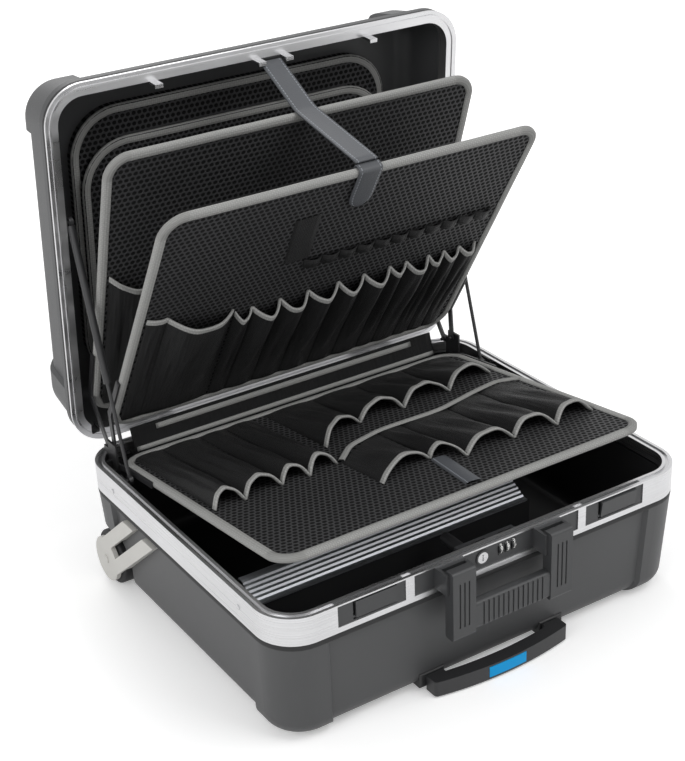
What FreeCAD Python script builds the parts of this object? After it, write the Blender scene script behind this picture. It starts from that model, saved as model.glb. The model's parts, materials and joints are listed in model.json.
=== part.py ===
import FreeCAD
import Part
import math
import os

# Driving sizes, in millimetres. The floor is z = 0, the front is at negative y.
case_length = 500.0
case_width = 407.5
base_depth = 142.0
foot_height = 5.0
lid_depth = 82.0
corner_radius = 42.0
wall = 3.0

# Angles of the rest pose, in degrees.
lid_open_angle = 86.0
front_board_angle = 121.6
middle_board_angle = 108.5
base_board_angle = -7.7

# Shared clearances.
cut_over = 2.0
face_gap = 0.3
seat_gap = 0.5
turn_gap = 0.06

half_length = case_length / 2
half_width = case_width / 2
rim = foot_height + base_depth

# Aluminium frame of the base.
band_height = 30.0
band_wall = 2.0
frame_face = 10.5
flange_wall = 4.0
leg_wall = 2.0
leg_height = 14.0
groove_width = 4.0
groove_depth = 2.0
rivet_radius = 2.6
rivet_head = 0.8

# Moulded base shell.
lip_height = 6.0
lip_inset = 0.5
wall_inset_top = 5.5
wall_inset_bottom = 11.0
bumper_height = 4.5
bottom_radius = 18.0
front_bumper_length = 66.0
side_bumper_length = 72.0
bumper_slope = 10.0

# Wheels, wells and brackets.
wheel_radius = 31.0
wheel_rear_inset = 38.75
wheel_y = half_width - wheel_rear_inset
wheel_floor_gap = 1.0
wheel_z = wheel_radius + wheel_floor_gap
wheel_side_inset = 4.5
wheel_width = 24.0
wheel_outer_face = half_length - wheel_side_inset
wheel_inner_face = wheel_outer_face - wheel_width
wheel_hub_radius = 16.0
wheel_hub_recess = 3.0
axle_radius = 4.0
well_gap = 9.0
well_radius = wheel_radius + well_gap
well_side_gap = 3.5
well_inner_face = wheel_inner_face - well_side_gap
bracket_proud = 2.0
bracket_face = half_length + bracket_proud
bracket_wall = 5.0
bracket_half_width = 22.0
bracket_slot_half_width = 6.5
bracket_angle = 140.0
bracket_end_radius = 25.5
bracket_top_drop = 41.0
bracket_slot_start = 24.0
bracket_reach = 150.0
bracket_screw_radius = 5.0
bracket_screw_head = 1.2

# Feet.
foot_radius = 11.0
foot_side_inset = 74.0
foot_x = half_length - foot_side_inset
foot_front_inset = 63.75
foot_front_y = foot_front_inset - half_width
foot_rear_inset = 111.75
foot_rear_y = half_width - foot_rear_inset

# Hinges.
hinge_y_offset = 7.05
hinge_drop = 10.5
hinge_radius = 4.2
hinge_pin_radius = 2.0
hinge_side_inset = 100.0
hinge_x = half_length - hinge_side_inset
hinge_half_width = 28.0
hinge_leaf_wall = 2.2
hinge_leaf_height = 17.0
hinge_knuckle_gap = 0.4
hinge_pin_head = 1.2

# Cut-outs of the front band with their plates.
latch_outer_share = 0.744
latch_inner_share = 0.44
lock_share = 0.4
latch_outer_x = latch_outer_share * half_length
latch_inner_x = latch_inner_share * half_length
lock_half_width = lock_share * half_length
cut_out_top_drop = 1.6
cut_out_height = 22.6
cut_out_depth = 7.4
plate_wall = 2.2
plate_frame = 2.6

# Latch levers.
lever_width = 46.0
lever_shift = 5.0
lever_height = 16.5
lever_wall = 2.4
lever_axis_drop = 20.0
lever_pin_radius = 1.4
lever_eye_radius = 2.4
lever_ajar = 8.0

# Key cylinder, dials and their housing.
key_x = -19.0
key_drop = 12.5
key_radius = 6.0
key_proud = 1.2
key_rim_radius = 8.0
key_slot_width = 1.6
key_slot_length = 7.0
key_slot_depth = 1.6
dial_x = 3.0
dial_pitch = 8.0
dial_radius = 6.0
dial_width = 5.0
dial_drop = 11.0
dial_set_back = 5.0
dial_axle_radius = 1.5
dial_teeth = 10
dial_tooth = 0.5
dial_window_gap = 0.5
lock_body_radius = 6.0
lock_body_drop = 20.5
lock_body_rear_inset = 63.75
lock_body_rear_y = lock_body_rear_inset - half_width

# Carry handle.
handle_inner_share = 0.184
handle_outer_share = 0.292
handle_inner_x = handle_inner_share * half_length
handle_outer_x = handle_outer_share * half_length
handle_proud = 24.25
handle_face_y = -half_width - handle_proud
handle_depth = 13.0
handle_axis_inset = 9.0
handle_axis_y = handle_face_y + handle_axis_inset
handle_axis_drop = 7.0
handle_top_rise = 1.0
handle_length = 76.0
handle_bar_top_drop = 42.0
handle_bar_height = 30.0
handle_bar_depth = 12.0
handle_pin_radius = 3.0
handle_mount_wall = 3.4
handle_rib_pitch = 6.0
handle_rib_depth = 1.0
handle_groove_count = 3

# Trolley handle.
tube_x = 75.0
tube_width = 13.6
tube_height = 8.6
tube_rise = 9.0
tube_z = foot_height + tube_rise
guide_wall = 1.5
guide_rear_inset = 53.75
guide_rear_y = half_width - guide_rear_inset
tube_rear_gap = 10.0
tube_rear_y = guide_rear_y - tube_rear_gap
bezel_half_width = 15.0
bezel_front_inset = 8.25
bezel_front_y = bezel_front_inset - half_width
bezel_depth = 21.5
bezel_rear_y = bezel_front_y + bezel_depth
bezel_height = 16.2
bezel_bottom_z = foot_height + face_gap
bezel_top_z = bezel_bottom_z + bezel_height
grip_half_width = 83.0
grip_height = 16.8
grip_bottom_drop = 2.8
grip_bottom_z = foot_height - grip_bottom_drop
grip_top_z = grip_bottom_z + grip_height
grip_proud = 7.75
grip_corner_y = -half_width - grip_proud
grip_bow = 9.0
grip_arm_length = 15.5
grip_rear_y = grip_corner_y + grip_arm_length
grip_bar_depth = 15.0
grip_arm_width = 20.0
grip_edge = 2.0
button_half_width = 23.0
button_depth = 6.0
button_height = 12.0
button_travel = 3.0

# Inner tray, its dividers and the ribbed rail.
tray_gap = 0.5
tray_wall = 2.0
tray_floor_rise = 17.5
tray_floor_z = foot_height + tray_floor_rise
tray_top_drop = 16.0
rail_left_inset = 24.0
rail_left_x = rail_left_inset - half_length
rail_right_inset = 150.0
rail_right_x = half_length - rail_right_inset
rail_front_inset = 79.75
rail_front_y = rail_front_inset - half_width
rail_ledge_depth = 6.0
rail_ledge_drop = 27.0
rail_depth = 28.0
rail_top_y = rail_front_y + rail_depth
rail_top_drop = 14.5
rail_wall = 2.0
rail_rib_count = 5
rail_rib_height = 1.0
divider_wall = 2.5
divider_gap = 2.0
divider_x = rail_right_x + divider_gap
divider_drop = 30.0

# Front lining behind the band.
lining_side_inset = 50.0
lining_half_length = half_length - lining_side_inset
lining_top_drop = 2.0
lining_depth = 38.75
lining_foot_y = lining_depth - half_width
lining_foot_drop = 25.0
lining_wall = 2.0
lining_notch_half_width = 8.0
lining_notch_depth = 12.0
lining_notch_drop = 18.0
housing_drop = 8.0
housing_depth = 16.0
housing_left_reach = 15.0
housing_left_x = key_x - housing_left_reach
housing_right_reach = 33.0
housing_right_x = dial_x + housing_right_reach

# Lid shell and frame, measured with the lid closed, heights above the rim.
lid_ring_face = 13.5
lid_ring_wall = 3.0
lid_leg_height = 14.0
lid_leg_wall = 2.0
lid_tongue_width = 2.0
lid_tongue_height = 1.0
lid_lip_height = 12.0
lid_step_inset = 3.0
lid_side_inset = 8.0
lid_front_inset = 19.0
lid_rear_inset = 9.0
lid_top_radius = 20.0

# Strikers and the strap's anchor.
striker_width = 9.0
striker_wall = 2.4
striker_reach = 12.0
striker_foot = 4.0
striker_side_inset = 120.5
striker_middle_shares = (-0.036, 0.096)
striker_x = half_length - striker_side_inset
striker_places = [-striker_x] + [share * half_length for share in striker_middle_shares] + [striker_x]
anchor_x = 7.5
anchor_half_width = 11.0
anchor_wall = 3.0
anchor_height = 11.0
anchor_drop = 1.2
anchor_depth = 8.0

# Lid pockets.
pocket_rear_side_inset = 54.0
pocket_rear_half_length = half_length - pocket_rear_side_inset
pocket_rear_front_inset = 57.75
pocket_rear_front_y = pocket_rear_front_inset - half_width
pocket_rear_height = 12.5
pocket_front_side_inset = 60.0
pocket_front_half_length = half_length - pocket_front_side_inset
pocket_front_front_inset = 90.75
pocket_front_front_y = pocket_front_front_inset - half_width
pocket_front_height = 9.5
pocket_back_inset = 31.75
pocket_back_y = half_width - pocket_back_inset
pocket_corner = 55.0
pocket_wall = 2.5

# Tool boards: panel, binding and arms.
board_side_inset = 27.0
board_half_width = half_length - board_side_inset
board_corner = 28.0
board_wall = 4.0
binding_width = 9.0
binding_wall = 7.0
binding_overlap = 6.0
board_length_inset = 62.5
middle_board_shorter = 6.0
front_board_length = case_width - board_length_inset
middle_board_length = front_board_length - middle_board_shorter
base_board_length = front_board_length
front_board_rear_inset = 12.75
front_board_y = half_width - front_board_rear_inset
front_board_rise = 26.0
middle_board_rear_reach = 28.25
middle_board_y = half_width + middle_board_rear_reach
middle_board_rise = 27.0
base_board_rear_inset = 30.75
base_board_y = half_width - base_board_rear_inset
base_board_rise = -8.0
arm_wall = 2.2
arm_half_height = 3.4
arm_length = 58.0
arm_eye_radius = 3.3
arm_pin_radius = 2.0
arm_tab_half_depth = 3.4
arm_notch_gap = 0.7
front_pivot_inset = 30.45
front_pivot_y = half_width - front_pivot_inset
front_pivot_rise = 11.2
middle_pivot_inset = 15.15
middle_pivot_y = half_width - middle_pivot_inset
middle_pivot_rise = 4.4
base_pivot_inset = 27.75
base_pivot_y = half_width - base_pivot_inset
base_pivot_rise = -12.5
board_bracket_wall = 2.5
board_bracket_inset = 10.75
board_bracket_depth = 30.0
board_bracket_rear_y = half_width - board_bracket_inset
board_bracket_front_y = board_bracket_rear_y - board_bracket_depth
board_bracket_bottom_drop = 22.0
board_bracket_top_rise = 17.0
board_bracket_back = 5.0
board_pin_end_gap = 1.0

# Pockets of the boards.
sleeve_wall = 1.2
sleeve_gap = 1.0
sleeve_foot_height = 3.0
base_pocket_height = 17.5
front_row_height = 12.0
front_large_height = 17.5
front_small_height = 11.5
middle_pocket_height = 9.0
tool_mouth_share = 0.4638
large_left_mouth_share = 0.5507
large_right_mouth_share = 0.4783
large_end_share = -0.4798
board_seam_margin = 12.0
# Each seam: its place across the board from the middle, and its mouth along the board from the hinge edge.
base_rear_seam_shares = ((-0.9372, 0.5681), (-0.7803, 0.5681), (-0.5785, 0.5565), (-0.435, 0.5623),
                         (-0.2735, 0.5478), (-0.2063, 0.4174), (0.0807, 0.3246), (0.3408, 0.3275),
                         (0.6323, 0.3159), (0.9283, 0.2841))
base_front_seam_shares = ((-0.2556, 0.7739), (0.0583, 0.7246), (0.1973, 0.7884), (0.4753, 0.7855),
                          (0.7085, 0.8029), (0.9372, 0.7942))
front_row_back_shares = (0.5507, 0.4348, 0.4348, 0.4406, 0.3971, 0.4087)
tool_seam_shares = (-0.4664, -0.3722, -0.2197, -0.0628, 0.1076, 0.2556, 0.4081, 0.5067, 0.6413, 0.7354,
                    0.8296, 0.9283)
loop_bottom_share = 0.6029
loop_height = 12.0
loop_left_share = -0.1614
loop_right_share = 0.9238
loop_count = 11
loop_rise = 4.0
loop_wall = 1.2
tab_half_width = 8.5
tab_wall = 2.0
tab_length = 47.0
tab_edge_gap = 15.0
tab_x = 10.0

# Strap.
strap_x = 5.0
strap_half_width = 13.0
strap_wall = 2.4
strap_clear = 0.3
tab_hang = 52.0
tab_half = 14.0

# Lid stays.
stay_side_inset = 18.5
stay_x = half_length - stay_side_inset
stay_base_inset = 77.75
stay_base_y = half_width - stay_base_inset
stay_base_drop = 5.0
stay_lid_inset = 143.75
stay_lid_y = stay_lid_inset - half_width
stay_lid_rise = 3.0
cylinder_radius = 4.0
rod_radius = 2.0
rod_bore_gap = 0.06
stay_eye_radius = 5.0
stay_eye_half = 2.2
stay_pin_radius = 2.0
stay_eye_hole_gap = 0.05
stay_bracket_wall = 2.0
stay_bracket_half = 9.0

os.makedirs("parts", exist_ok=True)
pieces = {}


def point(x, y, z):
    return FreeCAD.Vector(x, y, z)


def block(x0, x1, y0, y1, z0, z1):
    return Part.makeBox(x1 - x0, y1 - y0, z1 - z0, point(x0, y0, z0))


def rod(radius, start, end):
    line = end - start
    return Part.makeCylinder(radius, line.Length, start, line)


def rounded(x0, x1, y0, y1, z0, z1, radius):
    body = block(x0, x1, y0, y1, z0, z1)
    upright = [e for e in body.Edges if abs(e.Vertexes[0].Z - e.Vertexes[-1].Z) > (z1 - z0) / 2]
    return body.makeFillet(radius, upright)


def slab(inset, z0, z1):
    return rounded(inset - half_length, half_length - inset, inset - half_width, half_width - inset,
                   z0, z1, corner_radius - inset)


def mirrored(shape):
    return shape.mirror(point(0, 0, 0), point(1, 0, 0))


def both_sides(shape):
    return Part.makeCompound([shape, mirrored(shape)])


def side_prism(outline, x0, x1):
    points = [point(x0, y, z) for y, z in outline]
    face = Part.Face(Part.makePolygon(points + points[:1]))
    return face.extrude(point(x1 - x0, 0, 0))


def plan_prism(outline, z0, z1):
    points = [point(x, y, z0) for x, y in outline]
    face = Part.Face(Part.makePolygon(points + points[:1]))
    return face.extrude(point(0, 0, z1 - z0))


def turned(shape, angle, y, z):
    copy = shape.copy()
    copy.rotate(point(0, y, z), point(1, 0, 0), angle)
    return copy


def moved(shape, x, y, z):
    copy = shape.copy()
    copy.translate(point(x, y, z))
    return copy


def round_wire(limits, corner, z):
    """Rounded rectangle at one height, each corner an arc."""
    x0, x1, y0, y1 = limits
    cut = corner * (1 - math.sqrt(0.5))
    edges = []
    for ax, ay, bx, by, cx, cy, dx, dy in (
            (x0 + corner, y0, x1 - corner, y0, x1 - cut, y0 + cut, x1, y0 + corner),
            (x1, y0 + corner, x1, y1 - corner, x1 - cut, y1 - cut, x1 - corner, y1),
            (x1 - corner, y1, x0 + corner, y1, x0 + cut, y1 - cut, x0, y1 - corner),
            (x0, y1 - corner, x0, y0 + corner, x0 + cut, y0 + cut, x0 + corner, y0)):
        edges.append(Part.makeLine(point(ax, ay, z), point(bx, by, z)))
        edges.append(Part.Arc(point(bx, by, z), point(cx, cy, z), point(dx, dy, z)).toShape())
    return Part.Wire(edges)


def tapered_block(low, high, z0, z1, corner, edge, edge_z):
    """A block with tapered sides, rounded uprights and one rounded end at edge_z."""
    body = Part.makeLoft([round_wire(low, corner, z0), round_wire(high, corner, z1)], True, True)
    end = [e for e in body.Edges if abs(e.BoundBox.ZMin - edge_z) < seat_gap
           and abs(e.BoundBox.ZMax - edge_z) < seat_gap]
    return body.makeFillet(edge, end)


def corner_prism(x_start, y_start, z0, z1):
    """Plan outline of one raised corner, its two ends sloping into the walls."""
    far_x = half_length + bumper_slope
    far_y = half_width + bumper_slope
    outline = [(x_start, y_start), (x_start, far_y - 3 * bumper_slope), (x_start + 2 * bumper_slope, far_y),
               (far_x, far_y), (far_x, y_start + 2 * bumper_slope), (far_x - 3 * bumper_slope, y_start)]
    return plan_prism(outline, z0, z1)


def four_corners(x_start, y_start, z0, z1):
    one = corner_prism(x_start, y_start, z0, z1)
    two = one.mirror(point(0, 0, 0), point(0, 1, 0))
    return [one, two, mirrored(one), mirrored(two)]


def keep(name, shape):
    pieces[name] = shape


def bounds(inset):
    return (inset - half_length, half_length - inset, inset - half_width, half_width - inset)


# Base shell

lip_bottom = rim - band_height - lip_height
bumper_x = half_length - front_bumper_length
bumper_y = half_width - side_bumper_length
inset_slope = (wall_inset_bottom - wall_inset_top) / (lip_bottom - foot_height)


def base_outer():
    low = foot_height
    body = tapered_block(bounds(wall_inset_bottom), bounds(wall_inset_top), low, lip_bottom,
                         corner_radius - wall_inset_bottom + bumper_height, bottom_radius, low)
    proud = tapered_block(bounds(wall_inset_bottom - bumper_height), bounds(wall_inset_top - bumper_height),
                          low, lip_bottom, corner_radius - wall_inset_bottom + 2 * bumper_height,
                          bottom_radius, low)
    for zone in four_corners(bumper_x, bumper_y, low - cut_over, lip_bottom + cut_over):
        body = body.fuse(proud.common(zone))
    return body


def well_solid(grow):
    x0 = well_inner_face - grow
    x1 = half_length + bumper_slope
    y1 = half_width + bumper_slope
    radius = well_radius + grow
    body = rod(radius, point(x0, wheel_y, wheel_z), point(x1, wheel_y, wheel_z))
    body = body.fuse(block(x0, x1, wheel_y, y1, -cut_over, wheel_z + radius))
    return body.fuse(block(x0, x1, wheel_y - radius, y1, -cut_over, wheel_z))


def trolley_bezel(side):
    x0 = side * tube_x - bezel_half_width
    x1 = side * tube_x + bezel_half_width
    return block(x0, x1, bezel_front_y, bezel_rear_y, bezel_bottom_z, bezel_top_z)


def cavity(extra, bottom, top):
    low_inset = wall_inset_bottom + wall + extra - inset_slope * (bottom - foot_height)
    high_inset = wall_inset_top + wall + extra - inset_slope * (top - lip_bottom)
    return tapered_block(bounds(low_inset), bounds(high_inset), bottom, top,
                         corner_radius - wall_inset_bottom - extra, bottom_radius - wall - extra, bottom)


def base_shell():
    outer = base_outer()
    lip = slab(lip_inset, lip_bottom, rim - band_height)
    collar = slab(band_wall, rim - band_height, rim - flange_wall)
    body = outer.fuse([lip, collar]).cut(cavity(0, foot_height + wall, rim + cut_over))
    for side in (1, -1):
        grown = well_solid(wall)
        void = well_solid(0)
        if side < 0:
            grown = mirrored(grown)
            void = mirrored(void)
        body = body.fuse(grown.common(outer)).cut(void)
        body = body.cut(trolley_bezel(side))
    for cut in cut_outs():
        body = body.cut(cut)
    return body.removeSplitter()


# Frame of the base

def cut_out(x0, x1):
    top = rim - cut_out_top_drop
    return block(x0, x1, -half_width - cut_over, cut_out_depth - half_width, top - cut_out_height, top)


def dial_well():
    half = dial_pitch * 1.5
    x = dial_x + dial_pitch
    reach = dial_radius + dial_tooth + dial_window_gap
    centre = rim - dial_drop
    return block(x - half, x + half, -half_width - cut_over, -half_width + dial_set_back + reach,
                 centre - reach, centre + reach)


def cut_outs():
    return [dial_well(), cut_out(-latch_outer_x, -latch_inner_x), cut_out(-lock_half_width, lock_half_width),
            cut_out(latch_inner_x, latch_outer_x)]


def base_frame():
    ring = slab(0, rim - band_height, rim).cut(slab(frame_face, rim - band_height - cut_over, rim + cut_over))
    channel = slab(band_wall, rim - band_height - cut_over, rim - flange_wall)
    channel = channel.cut(slab(frame_face - leg_wall, rim - band_height - cut_over, rim))
    ring = ring.cut(channel)
    short = slab(frame_face - leg_wall, rim - band_height - cut_over, rim - leg_height)
    ring = ring.cut(short)
    middle = (frame_face - groove_width) / 2
    groove = slab(middle, rim - groove_depth, rim + cut_over)
    groove = groove.cut(slab(middle + groove_width, rim - groove_depth - cut_over, rim + 2 * cut_over))
    ring = ring.cut(groove)
    for cut in cut_outs():
        ring = ring.cut(cut)
    return ring


def frame_rivets():
    """Round heads on the sides of the band, four on each side."""
    z = rim - band_height / 2
    heads = []
    for y in (-half_width + side_bumper_length, half_width - side_bumper_length):
        start = point(half_length, y, z)
        heads.append(rod(rivet_radius, start, start + point(rivet_head, 0, 0)))
        heads.append(mirrored(heads[-1]))
    for x in (bumper_x, -bumper_x):
        start = point(x, half_width, z)
        heads.append(rod(rivet_radius, start, start + point(0, rivet_head, 0)))
    return Part.makeCompound(heads)


def feet():
    solids = []
    for y in (foot_front_y, foot_rear_y):
        for x in (foot_x, -foot_x):
            body = rod(foot_radius, point(x, y, 0), point(x, y, foot_height))
            lower = [e for e in body.Edges if e.BoundBox.ZMax < foot_height / 2]
            solids.append(body.makeChamfer(face_gap, lower))
    return Part.makeCompound(solids)


# Wheels

def wheel_bracket():
    """Slotted diagonal strap that holds the wheel, with the axle stub and the screw head."""
    x0 = half_length - wall_inset_bottom
    plate = block(x0, bracket_face, -bracket_end_radius, bracket_reach, -bracket_half_width, bracket_half_width)
    slot = block(x0 - cut_over, bracket_face + cut_over, bracket_slot_start, bracket_reach + cut_over,
                 -bracket_slot_half_width, bracket_slot_half_width)
    end = rod(bracket_end_radius, point(x0, 0, 0), point(bracket_face, 0, 0))
    back = block(x0 - cut_over, bracket_face + cut_over, -bracket_end_radius - cut_over, 0,
                 -bracket_reach, bracket_reach)
    plate = plate.cut(back).cut(slot).fuse(end)
    plate = moved(turned(plate, bracket_angle, 0, 0), 0, wheel_y, wheel_z)
    top = rim - bracket_top_drop
    plate = plate.cut(block(x0 - cut_over, bracket_face + cut_over, -half_width, half_width, top, 2 * rim))
    plate = plate.cut(base_outer())
    inner = bracket_face - bracket_wall
    behind = block(x0 - cut_over, inner, wheel_y - well_radius, 2 * half_width, 0, wheel_z + well_radius)
    plate = plate.cut(behind)
    stub = rod(axle_radius, point(well_inner_face, wheel_y, wheel_z), point(inner + cut_over / 2, wheel_y, wheel_z))
    head = rod(bracket_screw_radius, point(inner, wheel_y, wheel_z),
               point(bracket_face + bracket_screw_head, wheel_y, wheel_z))
    return plate.fuse([stub, head])


def wheel():
    start = point(wheel_inner_face, wheel_y, wheel_z)
    end = point(wheel_outer_face, wheel_y, wheel_z)
    body = rod(wheel_radius, start, end)
    rims = [e for e in body.Edges if len(e.Vertexes) == 1]
    body = body.makeFillet(wall, rims)
    recess = rod(wheel_radius - 3 * wall, end - point(wheel_hub_recess, 0, 0), end + point(cut_over, 0, 0))
    hub = rod(wheel_hub_radius, end - point(wheel_hub_recess, 0, 0), end)
    body = body.cut(recess).fuse(hub)
    return body.cut(rod(axle_radius + turn_gap, start - point(cut_over, 0, 0), end + point(cut_over, 0, 0)))


# Hinges

hinge_y = half_width + hinge_y_offset
hinge_z = rim - hinge_drop


def knuckle(x0, x1):
    return rod(hinge_radius, point(x0, hinge_y, hinge_z), point(x1, hinge_y, hinge_z))


def hinge_hole(x0, x1, gap):
    return rod(hinge_pin_radius + gap, point(x0, hinge_y, hinge_z), point(x1, hinge_y, hinge_z))


def hinge_leaf_base(side):
    centre = side * hinge_x
    third = hinge_half_width / 3
    x0 = centre - hinge_half_width
    x1 = centre + hinge_half_width
    leaf = block(x0, x1, half_width, half_width + hinge_leaf_wall, hinge_z - hinge_leaf_height, hinge_z)
    web = block(x0, x1, half_width, hinge_y, hinge_z - hinge_radius, hinge_z)
    body = leaf.fuse([web, knuckle(x0, x1)])
    gap = block(centre - third, centre + third, half_width + hinge_leaf_wall, hinge_y + 2 * hinge_radius,
                hinge_z - 2 * hinge_radius, hinge_z + 2 * hinge_radius)
    body = body.cut(gap)
    body = body.cut(block(centre - third, centre + third, half_width - cut_over, half_width + 2 * hinge_leaf_wall,
                          hinge_z - hinge_radius - hinge_knuckle_gap, hinge_z + cut_over))
    return body.cut(hinge_hole(x0 - cut_over, x1 + cut_over, 0))


def hinge_pin(side):
    centre = side * hinge_x
    x0 = centre - hinge_half_width - hinge_pin_head
    x1 = centre + hinge_half_width + hinge_pin_head
    body = hinge_hole(x0, x1, 0)
    for x in (x0, x1 - hinge_pin_head):
        head = rod(hinge_pin_radius + hinge_pin_head, point(x, hinge_y, hinge_z),
                   point(x + hinge_pin_head, hinge_y, hinge_z))
        body = body.fuse(head)
    return body


def hinge_leaf_lid(side):
    """Leaf on the lid, in the closed position: one knuckle between the two of the base."""
    centre = side * hinge_x
    half = hinge_half_width / 3 - hinge_knuckle_gap
    x0 = centre - half
    x1 = centre + half
    foot = rim + lid_ring_wall + face_gap
    leaf = block(centre - hinge_half_width, centre + hinge_half_width, half_width, half_width + hinge_leaf_wall,
                 foot, rim + lid_ring_wall + lid_lip_height)
    neck = block(x0, x1, half_width + hinge_leaf_wall / 4, half_width + 1.6 * hinge_leaf_wall, hinge_z, foot + cut_over)
    arm = block(x0, x1, half_width + hinge_leaf_wall / 4, hinge_y, hinge_z - hinge_pin_radius, hinge_z + hinge_pin_radius)
    body = leaf.fuse([neck, arm, knuckle(x0, x1)])
    return body.cut(hinge_hole(x0 - cut_over, x1 + cut_over, turn_gap))


# Latches and lock

recess_y = cut_out_depth - half_width
cut_top = rim - cut_out_top_drop
cut_bottom = cut_top - cut_out_height
lever_y = -half_width + lever_eye_radius
lever_z = rim - lever_axis_drop


def lever_span(side):
    middle = side * (latch_inner_x + latch_outer_x) / 2 + lever_shift
    return middle - lever_width / 2, middle + lever_width / 2


def latch_plate(side):
    """Dark plate that fills the cut-out around the lever, with the lever's pin."""
    x0, x1 = sorted((side * latch_inner_x, side * latch_outer_x))
    front = -half_width + plate_frame / 2
    body = block(x0, x1, front, recess_y, cut_bottom, cut_top)
    left, right = lever_span(side)
    window = block(left - plate_frame, right + seat_gap, front - cut_over, recess_y - plate_wall,
                   cut_bottom + plate_frame / 2, cut_top - plate_frame / 2)
    body = body.cut(window)
    pin = rod(lever_pin_radius, point(left - plate_frame - seat_gap, lever_y, lever_z),
              point(right + 2 * seat_gap, lever_y, lever_z))
    return body.fuse(pin)


def latch_lever(side, ajar):
    left, right = lever_span(side)
    face = lever_y - lever_eye_radius
    body = block(left, right, face, face + lever_wall, lever_z, lever_z + lever_height)
    eye = rod(lever_eye_radius, point(left, lever_y, lever_z), point(right, lever_y, lever_z))
    tip = block(left, right, face, face + 2 * lever_wall, lever_z + lever_height - lever_wall,
                lever_z + lever_height)
    body = body.fuse([eye, tip])
    hole = rod(lever_pin_radius + turn_gap, point(left - cut_over, lever_y, lever_z),
               point(right + cut_over, lever_y, lever_z))
    return turned(body.cut(hole), ajar, lever_y, lever_z)


key_z = rim - key_drop
handle_swing = math.hypot(handle_axis_drop + handle_top_rise, handle_face_y + handle_depth - handle_axis_y) + seat_gap


def handle_span(side):
    return sorted((side * handle_inner_x, side * handle_outer_x))


dial_y = -half_width + dial_set_back
dial_z = rim - dial_drop


def dial_centres():
    return [dial_x + i * dial_pitch for i in range(3)]


def lock_plate():
    front = -half_width + plate_frame / 2
    body = block(-lock_half_width, lock_half_width, front, recess_y, cut_bottom, cut_top)
    body = body.cut(rod(key_radius + turn_gap, point(key_x, front - cut_over, key_z),
                        point(key_x, recess_y + cut_over, key_z)))
    collar = rod(key_rim_radius, point(key_x, front - key_proud, key_z), point(key_x, front, key_z))
    collar = collar.cut(rod(key_radius + turn_gap, point(key_x, front - cut_over, key_z),
                            point(key_x, front + cut_over, key_z)))
    body = body.fuse(collar)
    centres = dial_centres()
    for x in centres:
        half = dial_width / 2 + dial_window_gap
        well = rod(dial_radius + dial_tooth + dial_window_gap, point(x - half, dial_y, dial_z),
                   point(x + half, dial_y, dial_z))
        body = body.cut(well)
    axle = rod(dial_axle_radius, point(centres[0] - dial_pitch, dial_y, dial_z),
               point(centres[2] + dial_pitch, dial_y, dial_z))
    for side in (1, -1):
        x0, x1 = handle_span(side)
        body = body.cut(block(x0 - handle_mount_wall, x1 + handle_mount_wall, -half_width - cut_over, recess_y + cut_over,
                              cut_bottom - cut_over, rim))
    return body.fuse(axle)


def number_dial(x):
    half = dial_width / 2
    body = rod(dial_radius, point(x - half, dial_y, dial_z), point(x + half, dial_y, dial_z))
    for i in range(dial_teeth):
        angle = 2 * math.pi * i / dial_teeth
        y = dial_y + dial_radius * math.cos(angle)
        z = dial_z + dial_radius * math.sin(angle)
        body = body.fuse(rod(dial_tooth, point(x - half, y, z), point(x + half, y, z)))
    return body.cut(rod(dial_axle_radius + turn_gap, point(x - dial_width, dial_y, dial_z),
                        point(x + dial_width, dial_y, dial_z)))


def key_cylinder():
    front = -half_width + plate_frame / 2 - key_proud
    body = rod(key_radius, point(key_x, front, key_z), point(key_x, recess_y - face_gap, key_z))
    slot = block(key_x - key_slot_width / 2, key_x + key_slot_width / 2, front - cut_over,
                 front + key_slot_depth, key_z - key_slot_length / 2, key_z + key_slot_length / 2)
    return body.cut(slot)


def lock_body():
    z = rim - lock_body_drop
    start = frame_face - half_width
    body = rod(lock_body_radius, point(key_x, start, z), point(key_x, lock_body_rear_y, z))
    end = [e for e in body.Edges if e.BoundBox.YMin > lock_body_rear_y - cut_over]
    return body.makeFillet(lock_body_radius / 3, end)


# Carry handle

handle_axis_z = rim - handle_axis_drop


def handle_mount(side):
    """Boss in the centre cut-out with two ears and the pin of one handle arm."""
    x0, x1 = handle_span(side)
    outer0 = x0 - handle_mount_wall
    outer1 = x1 + handle_mount_wall
    low = cut_bottom
    top = cut_top
    ear_front = handle_axis_y - handle_pin_radius
    body = block(outer0, outer1, ear_front, recess_y, low, top)
    body = body.cut(block(x0 - face_gap, x1 + face_gap, ear_front - cut_over,
                          handle_axis_y + handle_swing, low - cut_over, top + cut_over))
    pin = rod(handle_pin_radius, point(outer0, handle_axis_y, handle_axis_z),
              point(outer1, handle_axis_y, handle_axis_z))
    return body.fuse(pin)


def handle_arm(side):
    x0, x1 = handle_span(side)
    top = rim + handle_top_rise
    body = block(x0, x1, handle_face_y, handle_face_y + handle_depth, top - handle_length, top)
    lines = [e for e in body.Edges if abs(e.Vertexes[0].X - e.Vertexes[-1].X) > handle_depth]
    body = body.makeFillet(handle_depth / 4, lines)
    step = (x1 - x0) / (handle_groove_count + 2)
    for i in range(handle_groove_count):
        x = x0 + step * (i + 1.5)
        body = body.cut(block(x - step / 6, x + step / 6, handle_face_y - cut_over,
                              handle_face_y + handle_rib_depth, top - handle_length + handle_depth,
                              top - handle_depth))
    return body


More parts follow.
